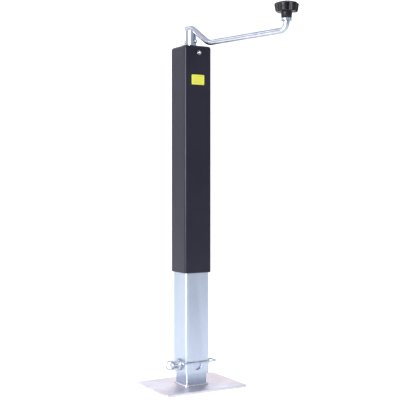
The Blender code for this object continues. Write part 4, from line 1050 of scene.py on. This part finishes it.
def make_bail(look):
    """The spring wire bail: from the head's hole round its loop, along the tube's front, over the tip."""
    wire = 1.3 * MM
    head = PIN_HEAD_RADIUS
    lift = head + GAP + wire
    loop_x = -9.0 * MM
    front_y = -inner_side / 2 - 1.5 * MM - wire
    corner_x = -bail_pivot.x - inner_side / 2 - wire - 5.5 * MM
    hook_x = pin_high.x - bail_pivot.x + GAP + wire
    side_z = lift - 2.2 * MM
    loop = [Vector((x, 0, z)) for x, z in arc((loop_x, 0), lift, 270, 90, 30)]
    lower = bent_path([(0, 0, head - 2 * wire), (0, 0, -lift), tuple(loop[0])], [wire * 1.6], 8.0)
    upper = bent_path(
        [
            tuple(loop[-1]),
            (-2 * wire, 0, lift),
            (corner_x, front_y, side_z),
            (hook_x, front_y, side_z),
            (hook_x, 0, side_z),
            (hook_x, 0, side_z - 9.0 * MM),
        ],
        [3.6 * MM, 6.0 * MM, 6.0 * MM, 3.0 * MM],
        6.0,
    )
    points = lower[:-1] + loop + upper[1:]
    bm = transformed(swept(points, [wire] * len(points), 20), Matrix.Translation(bail_pivot))
    place(finish_mesh("bail_spring_wire", bm, look), "bail", "bright_zinc", "leg_pin_bail")


# ---- CAD nodes that stay, inside the jack ------------------------------------
def dress_inner_pieces(steel, bronze):
    """Gives the pieces inside the jack their finished materials."""
    bronzes = {"ball_cage", "screw_nut"}
    steels = {"bearing_plate", "upper_race", "lower_race", "lead_screw", "screw_collar", "collar_pin"}
    steels |= {"stop_washer", "stop_pin", "nut_plate", "knob_retainer"}
    for name, obj in frame["nodes"].items():
        if name in bronzes:
            look = bronze
        elif name in steels or name.startswith("bearing_ball_"):
            look = steel
        else:
            continue
        obj.data.materials.clear()
        obj.data.materials.append(look)


# ---- studio ------------------------------------------------------------------
HEADING = math.radians(30.0)     # the camera's, from +Y towards +X


def make_camera():
    """A nearly level camera in front and to the left, at a little over half the jack's height."""
    eye = Vector((-0.914, -1.621, 0.433))
    tilt = math.radians(-1.16)
    forward = Vector((math.sin(HEADING) * math.cos(tilt), math.cos(HEADING) * math.cos(tilt), math.sin(tilt)))
    data = bpy.data.cameras.new("product_camera")
    data.sensor_width = 36.0
    data.lens = 78.9
    camera = bpy.data.objects.new("product_camera", data)
    camera.location = eye
    camera.rotation_euler = forward.to_track_quat("-Z", "Y").to_euler()
    bpy.context.scene.collection.objects.link(camera)
    bpy.context.scene.camera = camera


def backdrop_look():
    """Matt pale plastic with painted light: it glows, as if lit from behind, from a little in front of the
    jack all the way to the back.
    """
    look = Look("studio_pale_painted_glow", (0.93, 0.93, 0.935), 0.9)
    depth = look.maths(
        "ADD",
        look.maths("MULTIPLY", look.coordinate("X"), math.sin(HEADING)),
        look.maths("MULTIPLY", look.coordinate("Y"), math.cos(HEADING)),
    )
    # Painted light: this emission makes the floor and wall glow brighter with depth behind the jack.
    look.shader.inputs["Emission Color"].default_value = (1.0, 1.0, 1.0, 1.0)
    look.feed(look.shader.inputs["Emission Strength"], look.fit(depth, -0.7, -0.15, 0.0, 0.26))
    return look.material


def make_backdrop():
    """A pale floor that curves up into a pale wall far behind the jack."""
    bm = bmesh.new()
    wide, near, far, tall, radius = 9.0, -6.0, 5.0, 6.0, 2.0
    bend = [(far - radius + x, radius + z) for x, z in arc((0, 0), radius, -90, 0, 24)]
    profile = [(near, 0.0)] + bend + [(far, tall)]
    heading = Matrix.Rotation(-HEADING, 4, "Z")
    rows = []
    for side in (-wide, wide):
        rows.append([bm.verts.new(heading @ Vector((side, y, z - 0.0002))) for y, z in profile])
    for i in range(len(profile) - 1):
        bm.faces.new((rows[0][i], rows[1][i], rows[1][i + 1], rows[0][i + 1]))
    backdrop = finish_mesh("studio_backdrop", bm, backdrop_look(), 60.0)


def area_light(name, location, target, width, height, power):
    """A soft rectangular light that faces a point."""
    data = bpy.data.lights.new(name, "AREA")
    data.shape = "RECTANGLE"
    data.size, data.size_y = width, height
    data.energy = power
    light = bpy.data.objects.new(name, data)
    light.location = location
    light.rotation_euler = (Vector(target) - Vector(location)).to_track_quat("-Z", "Y").to_euler()
    bpy.context.scene.collection.objects.link(light)


def make_studio():
    """Soft light from a pale world, brighter at the back left than at the front right, and large panels."""
    world = bpy.data.worlds.new("studio_world")
    world.use_nodes = True
    tree = world.node_tree
    background = tree.nodes["Background"]
    background.inputs["Strength"].default_value = 1.0
    direction = tree.nodes.new("ShaderNodeTexCoord")
    toward = tree.nodes.new("ShaderNodeVectorMath")
    toward.operation = "DOT_PRODUCT"
    toward.inputs[1].default_value = (-0.83, 0.55, 0.1)
    ramp = tree.nodes.new("ShaderNodeMapRange")
    ramp.interpolation_type = "SMOOTHSTEP"
    ramp.inputs["From Min"].default_value = -0.8
    ramp.inputs["From Max"].default_value = 0.5
    blend = tree.nodes.new("ShaderNodeMix")
    blend.data_type = "RGBA"
    blend.inputs["A"].default_value = (0.44, 0.47, 0.53, 1.0)
    blend.inputs["B"].default_value = (0.80, 0.79, 0.88, 1.0)
    tree.links.new(direction.outputs["Generated"], toward.inputs[0])
    tree.links.new(toward.outputs["Value"], ramp.inputs["Value"])
    tree.links.new(ramp.outputs["Result"], blend.inputs["Factor"])
    tree.links.new(blend.outputs["Result"], background.inputs["Color"])
    bpy.context.scene.world = world
    centre = (0, 0, 0.4)
    area_light("left_softbox", (-2.3, -0.95, 1.0), centre, 1.6, 2.2, 40.0)
    area_light("left_strip", (-2.1, -0.85, 0.8), centre, 0.4, 1.5, 42.0)
    area_light("front_right_panel", (1.6, -2.4, 1.6), centre, 1.0, 2.0, 3.0)
    area_light("back_left_panel", (-1.85, 0.93, 1.73), (0, -0.1, 0.74), 0.9, 0.4, 2.6)
    area_light("rear_panel", (1.2, 2.2, 3.0), (1.4, 3.0, 0.5), 3.0, 2.0, 30.0)
    bpy.context.scene.view_settings.view_transform = "Standard"


# ---- the whole scene ---------------------------------------------------------
def make_jack():
    """Every shown piece of the jack."""
    paint = powder_coat()
    tube_zinc = zinc_plate("zinc_plate_tube", (0.55, 0.62, 0.695), (0.48, 0.54, 0.645), 0.34)
    leg_zinc = zinc_plate("zinc_plate_leg", (0.54, 0.62, 0.73), (0.45, 0.50, 0.62), 0.36)
    bright = bright_zinc("bright_zinc", (0.63, 0.66, 0.71), (0.50, 0.54, 0.60))
    fitting = bright_zinc("fitting_zinc", (0.50, 0.50, 0.51), (0.34, 0.34, 0.35))
    plastic = moulded_plastic()
    steel = machined_steel()
    bronze = machined_bronze()
    rubber = black_rubber()
    foot = foot_plate_zinc()
    make_outer_tube(paint)
    make_top_cap(paint)
    make_bush(bronze)
    make_grease_fitting(fitting)
    make_label()
    make_seal(rubber)
    make_socket(bright)
    make_crank_rod(bright)
    make_rod_welds(weld_metal("rod_weld_metal", (0.62, 0.65, 0.70)))
    make_crank_pin(bright)
    make_pin_ring(bright)
    make_knob(plastic)
    make_knob_cap(plastic)
    make_ferrule(bright)
    make_inner_tube(tube_zinc)
    make_drop_leg(leg_zinc)
    make_foot(foot)
    make_foot_weld(weld_metal("foot_weld_metal", (0.74, 0.73, 0.79)))
    make_leg_pin(bright)
    make_bail(bright)
    dress_inner_pieces(steel, bronze)


make_camera()
make_studio()
make_backdrop()
make_jack()
